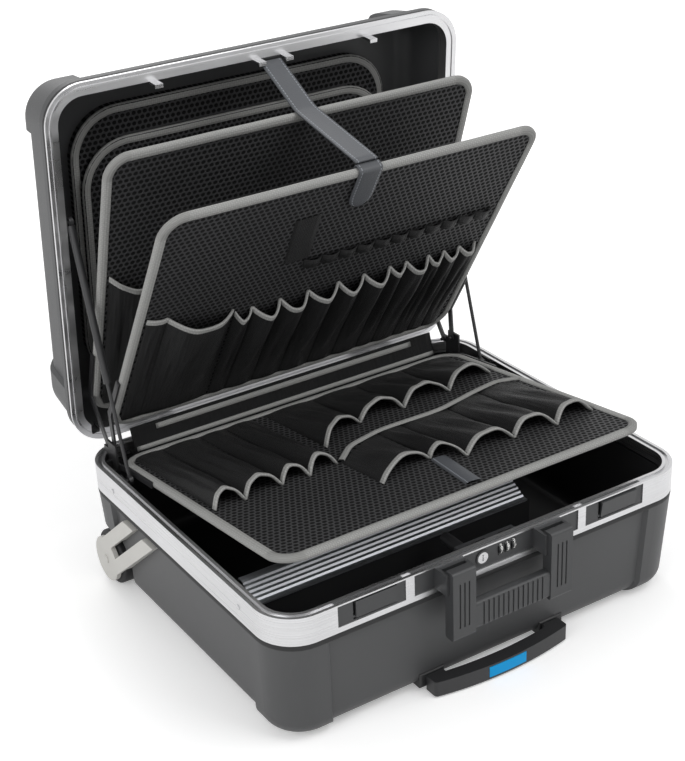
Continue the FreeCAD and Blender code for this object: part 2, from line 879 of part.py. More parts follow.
def carry_handle():
    body = handle_arm(1).fuse(handle_arm(-1))
    top = rim - handle_bar_top_drop
    y1 = handle_face_y + handle_depth
    bar = block(-handle_inner_x - cut_over, handle_inner_x + cut_over, y1 - handle_bar_depth, y1,
                top - handle_bar_height, top)
    lines = [e for e in bar.Edges if abs(e.Vertexes[0].X - e.Vertexes[-1].X) > handle_depth]
    bar = bar.makeFillet(handle_bar_depth / 3, lines)
    count = int(2 * (handle_inner_x - handle_rib_pitch) / handle_rib_pitch)
    for i in range(count):
        x = (i - (count - 1) / 2) * handle_rib_pitch
        groove = block(x - handle_rib_depth, x + handle_rib_depth, y1 - handle_bar_depth - cut_over,
                       y1 - handle_bar_depth + handle_rib_depth, top - handle_bar_height - cut_over,
                       top + cut_over)
        bar = bar.cut(groove)
    body = body.fuse(bar)
    hole = rod(handle_pin_radius + turn_gap, point(-handle_outer_x - cut_over, handle_axis_y, handle_axis_z),
               point(handle_outer_x + cut_over, handle_axis_y, handle_axis_z))
    return body.cut(hole)


# Trolley handle

def tube_pair(width, height, y0, y1):
    solids = []
    for side in (1, -1):
        x = side * tube_x
        solids.append(block(x - width / 2, x + width / 2, y0, y1, tube_z - height / 2, tube_z + height / 2))
    return solids


def trolley_guide():
    outer = tube_pair(tube_width + 2 * guide_wall + 2 * turn_gap, tube_height + 2 * guide_wall + 2 * turn_gap,
                      bezel_rear_y - cut_over, guide_rear_y)
    inner = tube_pair(tube_width + 4 * turn_gap, tube_height + 4 * turn_gap, bezel_front_y - cut_over,
                      guide_rear_y + cut_over)
    solids = []
    for side, tube, hole in zip((1, -1), outer, inner):
        bezel = trolley_bezel(side)
        edges = [e for e in bezel.Edges if e.BoundBox.YMax < bezel_front_y + cut_over]
        bezel = bezel.makeFillet(grip_edge, edges)
        solids.append(bezel.fuse(tube).cut(hole))
    return Part.makeCompound(solids)


def trolley_tubes():
    end = grip_rear_y - grip_edge
    solids = tube_pair(tube_width, tube_height, end, tube_rear_y)
    hollow = tube_pair(tube_width - 2 * guide_wall, tube_height - 2 * guide_wall, end - cut_over,
                       tube_rear_y + cut_over)
    return Part.makeCompound([tube.cut(hole) for tube, hole in zip(solids, hollow)])


def bowed_outline(half, corner_y, bow, rear_y, z0, z1):
    left = point(-half, corner_y, z0)
    right = point(half, corner_y, z0)
    arc = Part.Arc(left, point(0, corner_y - bow, z0), right).toShape()
    edges = [arc, Part.makeLine(right, point(half, rear_y, z0)),
             Part.makeLine(point(half, rear_y, z0), point(-half, rear_y, z0)),
             Part.makeLine(point(-half, rear_y, z0), left)]
    return Part.Face(Part.Wire(edges)).extrude(point(0, 0, z1 - z0))


def trolley_grip():
    outer = bowed_outline(grip_half_width, grip_corner_y, grip_bow, grip_rear_y, grip_bottom_z, grip_top_z)
    inner_half = grip_half_width - grip_arm_width
    inner = bowed_outline(inner_half, grip_corner_y + grip_bar_depth - grip_bow / 2, grip_bow / 2,
                          grip_rear_y + cut_over, grip_bottom_z - cut_over, grip_top_z + cut_over)
    body = outer.cut(inner)
    uprights = [e for e in body.Edges if abs(e.Vertexes[0].Z - e.Vertexes[-1].Z) > grip_edge
                and e.BoundBox.YMax < grip_corner_y + cut_over]
    body = body.makeFillet(2 * grip_edge, uprights)
    body = body.cut(button_seat(face_gap, button_depth + button_travel))
    for socket in tube_pair(tube_width, tube_height, grip_rear_y - grip_edge, grip_rear_y + cut_over):
        body = body.cut(socket)
    return body


def button_seat(gap, depth):
    front = grip_corner_y - grip_bow
    z0 = (grip_top_z + grip_bottom_z - button_height) / 2
    return block(-button_half_width - gap, button_half_width + gap, front - cut_over, front + depth,
                 z0 - gap, z0 + button_height + gap)


def push_button():
    full = bowed_outline(grip_half_width, grip_corner_y - face_gap, grip_bow, grip_rear_y, grip_bottom_z, grip_top_z)
    return full.common(button_seat(0, button_depth))


# Tray, dividers and rail

def base_tray():
    low = tray_floor_z
    top = rim - tray_top_drop
    body = cavity(tray_gap, low, top).cut(cavity(tray_gap + tray_wall, low + tray_wall, top + cut_over))
    for side in (1, -1):
        zone = well_solid(wall + tray_gap)
        if side < 0:
            zone = mirrored(zone)
        body = body.cut(zone)
        guides = tube_pair(tube_width + 2 * guide_wall + 4 * seat_gap, tube_height + 4 * guide_wall,
                           bezel_front_y, guide_rear_y + seat_gap)
        for guide in guides:
            body = body.cut(guide)
        body = body.cut(moved(trolley_bezel(side), 0, seat_gap, seat_gap))
    return body.cut(dial_well())


def front_rail():
    """Ribbed rail: a bright ledge, a rising ribbed face and a rear leg, one profile along x."""
    ledge = rim - rail_ledge_drop
    top = rim - rail_top_drop
    foot_y = rail_front_y + rail_ledge_depth
    outline = [(rail_front_y, ledge - rail_wall), (rail_front_y, ledge), (foot_y, ledge)]
    run = (rail_top_y - foot_y) / rail_rib_count
    rise = (top - ledge) / rail_rib_count
    for i in range(rail_rib_count):
        y = foot_y + i * run
        z = ledge + i * rise
        outline.append((y + run / 3, z + rise / 3 + rail_rib_height))
        outline.append((y + run, z + rise))
    outline.append((rail_top_y + rail_ledge_depth, top))
    outline.append((rail_top_y + rail_ledge_depth, top - rail_wall))
    outline.append((rail_top_y, top - rail_wall))
    outline.append((foot_y + rail_wall, ledge - rail_wall))
    return side_prism(outline, rail_left_x, rail_right_x)


def divider_walls():
    floor = tray_floor_z + tray_wall
    under = rim - rail_ledge_drop - rail_wall
    inset = half_length - wall_inset_bottom - wall - tray_gap - tray_wall - bottom_radius
    long_wall = block(-inset, divider_x, rail_front_y + rail_wall, rail_front_y + rail_wall + divider_wall,
                      floor, under)
    cross = block(divider_x, divider_x + divider_wall, rail_front_y + rail_wall, wheel_y - well_radius - 2 * wall,
                  floor, rim - divider_drop)
    return long_wall.fuse(cross)


def front_lining():
    """Sloping cover behind the front band with notches for the strikers and the lock housing."""
    y0 = frame_face - half_width
    top = rim - lining_top_drop
    foot = rim - lining_foot_drop
    outline = [(y0, top), (y0 + lining_wall, top), (lining_foot_y, foot), (lining_foot_y, foot - 2 * lining_wall),
               (lining_foot_y - lining_wall, foot - 2 * lining_wall), (lining_foot_y - lining_wall, foot),
               (y0 + lining_wall, top - 2 * lining_wall), (y0, top - 2 * lining_wall)]
    body = side_prism(outline, -lining_half_length, lining_half_length)
    z1 = rim - housing_drop
    housing = block(housing_left_x, housing_right_x, y0 + lining_wall, y0 + housing_depth, z1 - 2 * housing_depth, z1)
    body = body.fuse(housing)
    for x in striker_places:
        body = body.cut(block(x - lining_notch_half_width, x + lining_notch_half_width, y0 - cut_over,
                              y0 + lining_notch_depth, rim - lining_notch_drop, rim + cut_over))
    hole = rod(lock_body_radius, point(key_x, y0 - cut_over, rim - lock_body_drop),
               point(key_x, y0 + 2 * housing_depth, rim - lock_body_drop))
    return body.cut(hole).cut(dial_well())


# Lid, modelled closed

def lid_bounds(side, front, rear):
    return (side - half_length, half_length - side, front - half_width, half_width - rear)


lid_bottom = rim + face_gap
lid_top = rim + lid_depth


def lid_body(z0, more, skin, corner):
    """Tapered lid block, its walls set in by more and its top lowered by skin."""
    more += skin
    high = lid_bounds(lid_side_inset + more, lid_front_inset + more, lid_rear_inset + more)
    low = lid_bounds(lid_step_inset + more, lid_step_inset + more, lid_step_inset + more)
    return tapered_block(low, high, z0, lid_top - skin, corner, lid_top_radius - skin, lid_top - skin)


def lid_shell():
    low = lid_bottom + lid_ring_wall
    body = lid_body(low, bumper_height, 0, corner_radius - 2 * bumper_height)
    proud = lid_body(low, 0, 0, corner_radius - bumper_height)
    for zone in four_corners(bumper_x, bumper_y, low - cut_over, lid_top + cut_over):
        body = body.fuse(proud.common(zone))
    lip = slab(lip_inset, low, low + lid_lip_height)
    body = body.fuse(lip)
    inside = lid_body(low - cut_over, bumper_height, wall, corner_radius - 2 * bumper_height - wall)
    mouth = slab(frame_face, low - cut_over, low + lid_lip_height)
    return body.cut(inside).cut(mouth).cut(arm_notch()).removeSplitter()


def lid_frame():
    ring = slab(0, lid_bottom, lid_bottom + lid_ring_wall)
    ring = ring.cut(slab(lid_ring_face, lid_bottom - cut_over, lid_bottom + lid_ring_wall + cut_over))
    leg = slab(lid_ring_face - lid_leg_wall, lid_bottom, lid_bottom + lid_leg_height)
    leg = leg.cut(slab(lid_ring_face, lid_bottom - cut_over, lid_bottom + lid_leg_height + cut_over))
    middle = (frame_face - lid_tongue_width) / 2
    tongue = slab(middle, lid_bottom - lid_tongue_height, lid_bottom + lid_ring_wall / 2)
    tongue = tongue.cut(slab(middle + lid_tongue_width, lid_bottom - lid_tongue_height - cut_over,
                             lid_bottom + lid_ring_wall))
    return ring.fuse([leg, tongue]).cut(arm_notch())


striker_y = lid_ring_face - half_width


def strikers():
    """Hooked tongues on the inner leg of the lid's frame."""
    solids = []
    for x in striker_places:
        x0 = x - striker_width / 2
        x1 = x + striker_width / 2
        body = block(x0, x1, striker_y, striker_y + striker_wall, rim - striker_reach, lid_bottom + lid_leg_height)
        foot = block(x0, x1, striker_y, striker_y + striker_foot, rim - striker_reach, rim - striker_reach + striker_wall)
        solids.append(body.fuse(foot))
    return Part.makeCompound(solids)


def strap_anchor():
    z0 = lid_bottom - anchor_drop
    body = block(anchor_x - anchor_half_width, anchor_x + anchor_half_width, striker_y, striker_y + anchor_wall,
                 z0, z0 + anchor_height)
    bar = block(anchor_x - anchor_half_width, anchor_x + anchor_half_width, striker_y, striker_y + anchor_depth,
                z0 + anchor_height - anchor_wall, z0 + anchor_height)
    return body.fuse(bar)


def lid_pocket(half, front_y, z0, height):
    outer = rounded(-half, half, front_y, pocket_back_y, z0, z0 + height, pocket_corner)
    inner = rounded(pocket_wall - half, half - pocket_wall, front_y + pocket_wall, pocket_back_y - pocket_wall,
                    z0 + pocket_wall, z0 + height + cut_over, pocket_corner - pocket_wall)
    return outer.cut(inner)


def opened(shape):
    return turned(shape, -lid_open_angle, hinge_y, hinge_z)


# Boards, modelled flat: x along the width, y from the hinge edge, z out of the pocket side

def board_panel(length):
    margin = binding_width - binding_overlap
    half = board_half_width - margin
    return rounded(-half, half, margin, length - margin, -board_wall / 2, board_wall / 2, board_corner - margin)


def board_binding(length):
    outer = rounded(-board_half_width, board_half_width, 0, length, -binding_wall / 2, binding_wall / 2, board_corner)
    half = board_half_width - binding_width
    inner = rounded(-half, half, binding_width, length - binding_width, -binding_wall, binding_wall,
                    board_corner - binding_width)
    return outer.cut(inner).cut(board_panel(length))


def placed(shape, angle, y, rise):
    return moved(turned(shape, angle, 0, 0), 0, y, rim + rise)


def on_front(shape):
    return placed(shape, front_board_angle, front_board_y, front_board_rise)


def on_middle(shape):
    return placed(shape, middle_board_angle, middle_board_y, middle_board_rise)


def on_base(shape):
    return placed(shape, base_board_angle, base_board_y, base_board_rise)


def board_local(angle, y, rise, pivot_y, pivot_rise):
    """The pivot in the flat board's own y and z."""
    turn = math.radians(angle)
    dy = pivot_y - y
    dz = pivot_rise - rise
    return dy * math.cos(turn) + dz * math.sin(turn), dz * math.cos(turn) - dy * math.sin(turn)


def board_arm(pivot, along):
    """Arm on the side of the binding with an eye on the board's pivot."""
    y, z = pivot
    x0 = board_half_width
    x1 = board_half_width + arm_wall
    near = along * board_corner
    far = along * (board_corner + arm_length)
    y0, y1 = sorted((near, far))
    strip = block(x0, x1, y0, y1, -arm_half_height, arm_half_height)
    span = point(0, near - y, -z)
    length = math.hypot(span.y, span.z) + arm_half_height
    link = block(x0, x1, 0, length, -arm_eye_radius, arm_eye_radius)
    link = moved(turned(link, math.degrees(math.atan2(span.z, span.y)), 0, 0), 0, y, z)
    eye = rod(arm_eye_radius, point(x0, y, z), point(x1, y, z))
    hole = rod(arm_pin_radius + turn_gap, point(x0 - cut_over, y, z), point(x1 + cut_over, y, z))
    return both_sides(strip.fuse([link, eye]).cut(hole))


def pivot_tab(grow):
    """Small plate over the frame that carries the pin of the middle board."""
    x0 = board_half_width + arm_wall + 2 * face_gap
    return block(x0 - grow, x0 + board_bracket_wall + grow, board_bracket_front_y,
                 middle_pivot_y + arm_tab_half_depth + grow, rim + face_gap,
                 rim + middle_pivot_rise + arm_tab_half_depth + grow)


def arm_notch():
    """Room in the lid's inner edge for the tab, its pin and the arm beside it, on both sides."""
    tab = pivot_tab(arm_notch_gap).BoundBox
    start = board_half_width - arm_wall - board_pin_end_gap - arm_notch_gap
    return both_sides(block(start, tab.XMax, tab.YMin, tab.YMax, rim - cut_over,
                            lid_bottom + lid_leg_height + face_gap))


def board_bracket():
    """Black bracket in the rear corner that carries the pins of the three boards."""
    x0 = board_half_width + arm_wall + 2 * face_gap
    x1 = half_length - frame_face
    plate = block(x0, x0 + board_bracket_wall, board_bracket_front_y, board_bracket_rear_y,
                  rim - board_bracket_bottom_drop, rim + board_bracket_top_rise)
    back = block(x0, x1, board_bracket_rear_y - board_bracket_back - corner_radius / 3,
                 board_bracket_rear_y - corner_radius / 3, rim - board_bracket_bottom_drop, rim - flange_wall)
    ledge = block(x0, x1, board_bracket_front_y, board_bracket_rear_y - corner_radius / 3,
                  rim - leg_height, rim - leg_height + board_bracket_wall)
    room = slab(frame_face, 0, rim).fuse(slab(lid_ring_face + seat_gap, rim, 2 * rim))
    body = plate.fuse([back, ledge]).common(room).fuse(pivot_tab(0))
    for y, rise in ((front_pivot_y, front_pivot_rise), (middle_pivot_y, middle_pivot_rise),
                    (base_pivot_y, base_pivot_rise)):
        start = point(board_half_width - arm_wall - board_pin_end_gap, y, rim + rise)
        body = body.fuse(rod(arm_pin_radius, start, point(x0 + board_bracket_wall, y, rim + rise)))
    return body


# Pockets

def arch_wire(x0, x1, y0, y1, base, height, thick):
    """Closed crescent over a chord that may run at a slant in plan."""
    def at(share, rise):
        return point(x0 + (x1 - x0) * share, y0 + (y1 - y0) * share, base + rise)
    inset = thick / max(math.hypot(x1 - x0, y1 - y0), thick)
    outer = Part.Arc(at(0, 0), at(0.5, height), at(1, 0)).toShape()
    inner = Part.Arc(at(1 - inset, 0), at(0.5, height - thick), at(inset, 0)).toShape()
    return Part.Wire([outer, Part.makeLine(at(1, 0), at(1 - inset, 0)), inner,
                      Part.makeLine(at(inset, 0), at(0, 0))])


def sleeve(x0, x1, mouth0, mouth1, back0, back1, base, height):
    mouth = arch_wire(x0, x1, mouth0, mouth1, base, height, sleeve_wall)
    back = arch_wire(x0, x1, back0, back1, base, sleeve_foot_height, sleeve_wall)
    return Part.makeLoft([mouth, back], True, True)


def sleeves(seams, backs, height, sign):
    """One sleeve between each pair of seams; seams give x and the mouth's distance."""
    solids = []
    for i in range(len(seams) - 1):
        x0, mouth0 = seams[i]
        x1, mouth1 = seams[i + 1]
        x0 += sleeve_gap / 2
        x1 -= sleeve_gap / 2
        span = x1 - x0
        rise = min(height, span * 0.45)
        if abs(mouth1 - mouth0) > span:
            continue
        solids.append(sleeve(x0, x1, sign * mouth0, sign * mouth1, sign * backs[i], sign * backs[i + 1],
                             board_wall / 2, max(rise, 2 * sleeve_foot_height)))
    return Part.makeCompound(solids)


def seam_places(shares, length):
    return [(across * board_half_width, along * length) for across, along in shares]


def base_rear_pockets():
    seams = seam_places(base_rear_seam_shares, base_board_length)
    return sleeves(seams, [board_seam_margin] * len(seams), base_pocket_height, -1)


def base_front_pockets():
    backs = [share * base_board_length for share in front_row_back_shares]
    return sleeves(seam_places(base_front_seam_shares, base_board_length), backs, front_row_height, -1)


def front_tool_pockets():
    mouth = tool_mouth_share * front_board_length
    seams = [(share * board_half_width, mouth) for share in tool_seam_shares]
    backs = [board_seam_margin] * len(seams)
    return sleeves(seams, backs, front_small_height, 1)


def large_seams(x1, length):
    x0 = board_seam_margin - board_half_width
    return [(x0, large_left_mouth_share * length), (x1, large_right_mouth_share * length)]


def front_large_pocket():
    backs = [board_seam_margin, board_seam_margin]
    return sleeves(large_seams(large_end_share * board_half_width, front_board_length), backs,
                   front_large_height, 1)


def middle_pocket():
    x0 = board_seam_margin - board_half_width
    x1 = x0 + (1 + large_end_share) * board_half_width / 2
    backs = [board_seam_margin, board_seam_margin]
    return sleeves(large_seams(x1, middle_board_length), backs, middle_pocket_height, 1)


def front_loops():
    solids = []
    pitch = (loop_right_share - loop_left_share) * board_half_width / loop_count
    bottom = loop_bottom_share * front_board_length
    for i in range(loop_count):
        x0 = loop_left_share * board_half_width + i * pitch
        wire = arch_wire(x0, x0 + pitch - sleeve_gap, bottom, bottom, board_wall / 2, loop_rise, loop_wall)
        solids.append(Part.Face(wire).extrude(point(0, loop_height, 0)))
    return Part.makeCompound(solids)


def board_tab():
    end = tab_edge_gap - base_board_length
    return block(tab_x - tab_half_width, tab_x + tab_half_width, end, end + tab_length,
                 board_wall / 2, board_wall / 2 + tab_wall)


# Strap

def board_point(angle, y, rise, along, out):
    turn = math.radians(angle)
    return (y + along * math.cos(turn) - out * math.sin(turn),
            rim + rise + along * math.sin(turn) + out * math.cos(turn))


def strip(path, x0, x1, thick):
    """A flat band of constant thickness that follows a path of y and z points."""
    upper = []
    lower = []
    for i, (y, z) in enumerate(path):
        a = path[max(i - 1, 0)]
        b = path[min(i + 1, len(path) - 1)]
        length = math.hypot(b[0] - a[0], b[1] - a[1])
        ny = -(b[1] - a[1]) / length * thick / 2
        nz = (b[0] - a[0]) / length * thick / 2
        upper.append((y + ny, z + nz))
        lower.append((y - ny, z - nz))
    return side_prism(upper + lower[::-1], x0, x1)


def strap():
    lift = strap_clear + strap_wall / 2
    half = binding_wall / 2
    turn = math.radians(-lid_open_angle)
    dy = striker_y + anchor_depth + lift - hinge_y
    dz = lid_bottom - anchor_drop + anchor_height / 2 - hinge_z
    start = (hinge_y + dy * math.cos(turn) - dz * math.sin(turn), hinge_z + dy * math.sin(turn) + dz * math.cos(turn))
    top = board_point(middle_board_angle, middle_board_y, middle_board_rise, middle_board_length + lift, -half)
    over = board_point(middle_board_angle, middle_board_y, middle_board_rise, middle_board_length + lift, half)
    end = board_point(front_board_angle, front_board_y, front_board_rise, front_board_length + lift,
                      -half - lift - strap_wall)
    return strip([start, top, over, end], strap_x - strap_half_width, strap_x + strap_half_width, strap_wall)


def strap_tab():
    lift = strap_wall / 2
    half = binding_wall / 2
    start = front_board_length - 2 * binding_width / 3
    path = [(start, -half - lift), (front_board_length + lift, -half - lift),
            (front_board_length + lift, half + lift), (front_board_length - tab_hang, half + lift)]
    return strip(path, strap_x - tab_half, strap_x + tab_half, strap_wall)


# Stays of the lid

def lid_stud_open():
    turn = math.radians(-lid_open_angle)
    dy = stay_lid_y - hinge_y
    dz = rim + stay_lid_rise - hinge_z
    return (hinge_y + dy * math.cos(turn) - dz * math.sin(turn), hinge_z + dy * math.sin(turn) + dz * math.cos(turn))


stay_base_z = rim - stay_base_drop
lid_stud_y, lid_stud_z = lid_stud_open()
stay_open_length = math.hypot(lid_stud_y - stay_base_y, lid_stud_z - stay_base_z)
stay_angle = math.degrees(math.atan2(stay_base_z - lid_stud_z, stay_base_y - lid_stud_y))
stay_closed_length = math.hypot(stay_lid_y - stay_base_y, stay_lid_rise + stay_base_drop)
cylinder_length = stay_closed_length - 4 * stay_eye_radius


def eye(y, pin_hole):
    body = rod(stay_eye_radius, point(-stay_eye_half, y, 0), point(stay_eye_half, y, 0))
    if pin_hole:
        body = body.cut(rod(stay_pin_radius + stay_eye_hole_gap, point(-2 * stay_eye_half, y, 0),
                            point(2 * stay_eye_half, y, 0)))
    return body


def stay_placed(shape):
    return moved(turned(shape, stay_angle, 0, 0), stay_x, lid_stud_y, lid_stud_z)


def strut_cylinder():
    start = point(0, stay_eye_radius - stay_pin_radius / 2, 0)
    end = point(0, stay_eye_radius + cylinder_length, 0)
    body = rod(cylinder_radius, start, end).fuse(eye(0, False))
    body = body.cut(rod(rod_radius + rod_bore_gap, point(0, 2 * stay_eye_radius, 0), end + point(0, cut_over, 0)))
    return stay_placed(body.cut(rod(stay_pin_radius + stay_eye_hole_gap, point(-2 * stay_eye_half, 0, 0),
                                    point(2 * stay_eye_half, 0, 0))))


def strut_rod():
    insert = stay_closed_length - 2.6 * stay_eye_radius
    start = point(0, stay_open_length - insert, 0)
    body = rod(rod_radius, start, point(0, stay_open_length, 0)).fuse(eye(stay_open_length, False))
    reach = half_length - frame_face - stay_bracket_wall - face_gap - stay_x
    pin = rod(stay_pin_radius, point(0, stay_open_length, 0), point(reach, stay_open_length, 0))
    return stay_placed(body.fuse(pin))


def strut_bracket_base():
    x1 = half_length - frame_face
    x0 = x1 - stay_bracket_wall
    return block(x0, x1, stay_base_y - stay_bracket_half, stay_base_y + stay_bracket_half,
                 rim - leg_height, rim - face_gap)


def strut_bracket_lid():
    x1 = half_length - lid_ring_face
    low = lid_bottom
    plate = block(x1 - stay_bracket_wall / 2, x1, stay_lid_y - stay_bracket_half, stay_lid_y + stay_bracket_half,
                  low, low + lid_leg_height - cut_over)
    pin = rod(stay_pin_radius, point(stay_x - stay_eye_half - face_gap, stay_lid_y, rim + stay_lid_rise),
              point(x1 - stay_bracket_wall / 2, stay_lid_y, rim + stay_lid_rise))
    return plate.fuse(pin)


def build():
    keep("base_shell", base_shell())
    keep("base_frame", base_frame())
    keep("frame_rivets", frame_rivets())
    keep("feet", feet())
    keep("wheel_brackets", both_sides(wheel_bracket()))
    keep("wheel_right", wheel())
    keep("wheel_left", mirrored(wheel()))
    keep("hinge_leaves_base", Part.makeCompound([hinge_leaf_base(1), hinge_leaf_base(-1)]))
    keep("hinge_pins", Part.makeCompound([hinge_pin(1), hinge_pin(-1)]))
    keep("hinge_leaves_lid", opened(Part.makeCompound([hinge_leaf_lid(1), hinge_leaf_lid(-1)])))
    keep("latch_plates", Part.makeCompound([latch_plate(1), latch_plate(-1)]))
    keep("latch_lever_right", latch_lever(1, lever_ajar))
    keep("latch_lever_left", latch_lever(-1, 0))
    keep("lock_plate", lock_plate())
    keep("key_cylinder", key_cylinder())
    for i, x in enumerate(dial_centres()):
        keep("number_dial_%d" % (i + 1), number_dial(x))
    keep("lock_body", lock_body())
    keep("front_lining", front_lining())
    keep("handle_mounts", Part.makeCompound([handle_mount(1), handle_mount(-1)]))
    keep("carry_handle", carry_handle())
    keep("trolley_guide", trolley_guide())
    keep("trolley_tubes", trolley_tubes())
    keep("trolley_grip", trolley_grip())
    keep("push_button", push_button())
    keep("base_tray", base_tray())
    keep("front_rail", front_rail())
    keep("divider_walls", divider_walls())
    keep("lid_shell", opened(lid_shell()))
    keep("lid_frame", opened(lid_frame()))
    keep("strikers", opened(strikers()))
    keep("strap_anchor", opened(strap_anchor()))
    rear_z = lid_top - wall - face_gap - pocket_rear_height
    keep("lid_pocket_rear", opened(lid_pocket(pocket_rear_half_length, pocket_rear_front_y, rear_z,
                                              pocket_rear_height)))
    keep("lid_pocket_front", opened(lid_pocket(pocket_front_half_length, pocket_front_front_y,
                                               rear_z - pocket_front_height, pocket_front_height)))
    keep("front_board_panel", on_front(board_panel(front_board_length)))
    keep("front_board_binding", on_front(board_binding(front_board_length)))
    keep("front_board_arms", on_front(board_arm(board_local(front_board_angle, front_board_y, front_board_rise,
                                                            front_pivot_y, front_pivot_rise), 1)))
    keep("front_board_large_pocket", on_front(front_large_pocket()))
    keep("front_board_tool_pockets", on_front(front_tool_pockets()))
    keep("front_board_loops", on_front(front_loops()))
    keep("strap_tab", on_front(strap_tab()))
    keep("middle_board_panel", on_middle(board_panel(middle_board_length)))
    keep("middle_board_binding", on_middle(board_binding(middle_board_length)))
    keep("middle_board_arms", on_middle(board_arm(board_local(middle_board_angle, middle_board_y, middle_board_rise,
                                                              middle_pivot_y, middle_pivot_rise), 1)))
    keep("middle_board_pocket", on_middle(middle_pocket()))
    flip = -base_board_length
    keep("base_board_panel", on_base(moved(board_panel(base_board_length), 0, flip, 0)))
    keep("base_board_binding", on_base(moved(board_binding(base_board_length), 0, flip, 0)))
    keep("base_board_arms", on_base(board_arm(board_local(base_board_angle, base_board_y, base_board_rise,
                                                          base_pivot_y, base_pivot_rise), -1)))
    keep("base_board_rear_pockets", on_base(base_rear_pockets()))
    keep("base_board_front_pockets", on_base(base_front_pockets()))
    keep("base_board_tab", on_base(board_tab()))
    keep("board_brackets", both_sides(board_bracket()))
    keep("strap", strap())
    keep("strut_cylinder_right", strut_cylinder())
    keep("strut_cylinder_left", mirrored(strut_cylinder()))
    keep("strut_rod_right", strut_rod())
    keep("strut_rod_left", mirrored(strut_rod()))
    keep("strut_brackets_base", both_sides(strut_bracket_base()))
    keep("strut_brackets_lid", opened(both_sides(strut_bracket_lid())))


def export():
    """Centres the whole in x and y over the floor and writes one file for each piece."""
    boxes = [shape.optimalBoundingBox(False, False) for shape in pieces.values()]
    front = min(box.YMin for box in boxes)
    rear = max(box.YMax for box in boxes)
    shift = point(0, -(front + rear) / 2, 0)
    print("shift", shift, "front", front, "rear", rear)
    for name, shape in pieces.items():
        copy = shape.copy()
        copy.translate(shift)
        copy.exportStep("parts/%s.step" % name)
        print(name, len(copy.Solids), copy.isValid(), round(copy.Volume))


build()
export()
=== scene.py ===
import json
import math
import random

import bpy
from mathutils import Matrix, Vector


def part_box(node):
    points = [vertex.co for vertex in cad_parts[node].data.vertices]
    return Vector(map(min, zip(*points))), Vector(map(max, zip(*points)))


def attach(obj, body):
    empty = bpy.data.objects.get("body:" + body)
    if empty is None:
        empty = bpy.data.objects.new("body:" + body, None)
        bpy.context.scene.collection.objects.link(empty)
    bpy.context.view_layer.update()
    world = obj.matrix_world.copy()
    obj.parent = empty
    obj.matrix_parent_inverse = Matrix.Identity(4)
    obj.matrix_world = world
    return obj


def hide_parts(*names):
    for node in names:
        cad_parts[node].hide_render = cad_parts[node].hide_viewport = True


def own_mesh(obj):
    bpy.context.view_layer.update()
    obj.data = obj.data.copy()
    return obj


bl_info = {
    "name": "Hard tool case",
    "version": (1, 0, 0),
    "blender": (4, 5, 0),
    "location": "3D View > Sidebar > Tool case",
    "description": "Dresses the packed tool case with its cloth pieces, finishes, floor, lights and camera",
    "category": "Object",
}

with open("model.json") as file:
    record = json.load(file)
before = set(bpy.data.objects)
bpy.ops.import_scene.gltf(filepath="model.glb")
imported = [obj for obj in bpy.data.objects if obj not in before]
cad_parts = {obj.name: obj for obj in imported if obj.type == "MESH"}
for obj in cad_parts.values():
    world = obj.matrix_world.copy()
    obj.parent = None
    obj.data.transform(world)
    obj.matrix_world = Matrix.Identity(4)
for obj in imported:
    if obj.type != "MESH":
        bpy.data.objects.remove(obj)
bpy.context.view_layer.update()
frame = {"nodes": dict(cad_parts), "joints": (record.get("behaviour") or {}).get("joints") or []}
NODES = frame["nodes"]

# The rim of the base frame and the middle of the case, from which heights and depths are measured
FRAME_LOW, FRAME_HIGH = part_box("base_frame")
RIM = FRAME_HIGH.z
CENTRE_Y = (FRAME_LOW.y + FRAME_HIGH.y) / 2


def joint_place(name):
    for joint in frame["joints"]:
        if joint["name"] == name:
            return Vector(joint["pos_m"])
    raise KeyError(name)


def board_matrix(angle, hinge):
    """Takes points of a board, whose hinge edge is its x axis, to their places in the open case."""
    y, rise = hinge
    return Matrix.Translation((0.0, y + CENTRE_Y, RIM + rise)) @ Matrix.Rotation(angle, 4, "X")


# The matrix takes points of the closed lid, y from the middle of the case, to the open lid.
LID_HINGE = joint_place("lid_hinge")
LID_OPENING = math.radians(-86.0)
OPEN_LID = (Matrix.Translation(LID_HINGE) @ Matrix.Rotation(LID_OPENING, 4, "X")
            @ Matrix.Translation(-Vector((0.0, LID_HINGE.y - CENTRE_Y, LID_HINGE.z))))

# The boards: slope, y and rise of the hinge edge, and sizes
FRONT_ANGLE = math.radians(121.6)
MIDDLE_ANGLE = math.radians(108.5)
BASE_ANGLE = math.radians(-7.7)
FRONT_HINGE = (0.191, 0.026)
MIDDLE_HINGE = (0.232, 0.027)
BASE_HINGE = (0.173, -0.008)
FRONT_BOARD = board_matrix(FRONT_ANGLE, FRONT_HINGE)
MIDDLE_BOARD = board_matrix(MIDDLE_ANGLE, MIDDLE_HINGE)
BASE_BOARD = board_matrix(BASE_ANGLE, BASE_HINGE)
FRONT_LENGTH = 0.345
MIDDLE_LENGTH = 0.339
BOARD_HALF_WIDTH = 0.223
BOARD_CORNER = 0.028
BOARD_FACE = 0.002
BINDING_WIDTH = 0.009
BINDING_HALF = 0.0035


# Settings

COLOUR = {"subtype": "COLOR", "size": 3, "min": 0.0, "max": 1.0}
LENGTH = {"subtype": "DISTANCE", "unit": "LENGTH"}
ANGLE = {"subtype": "ANGLE", "unit": "ROTATION"}


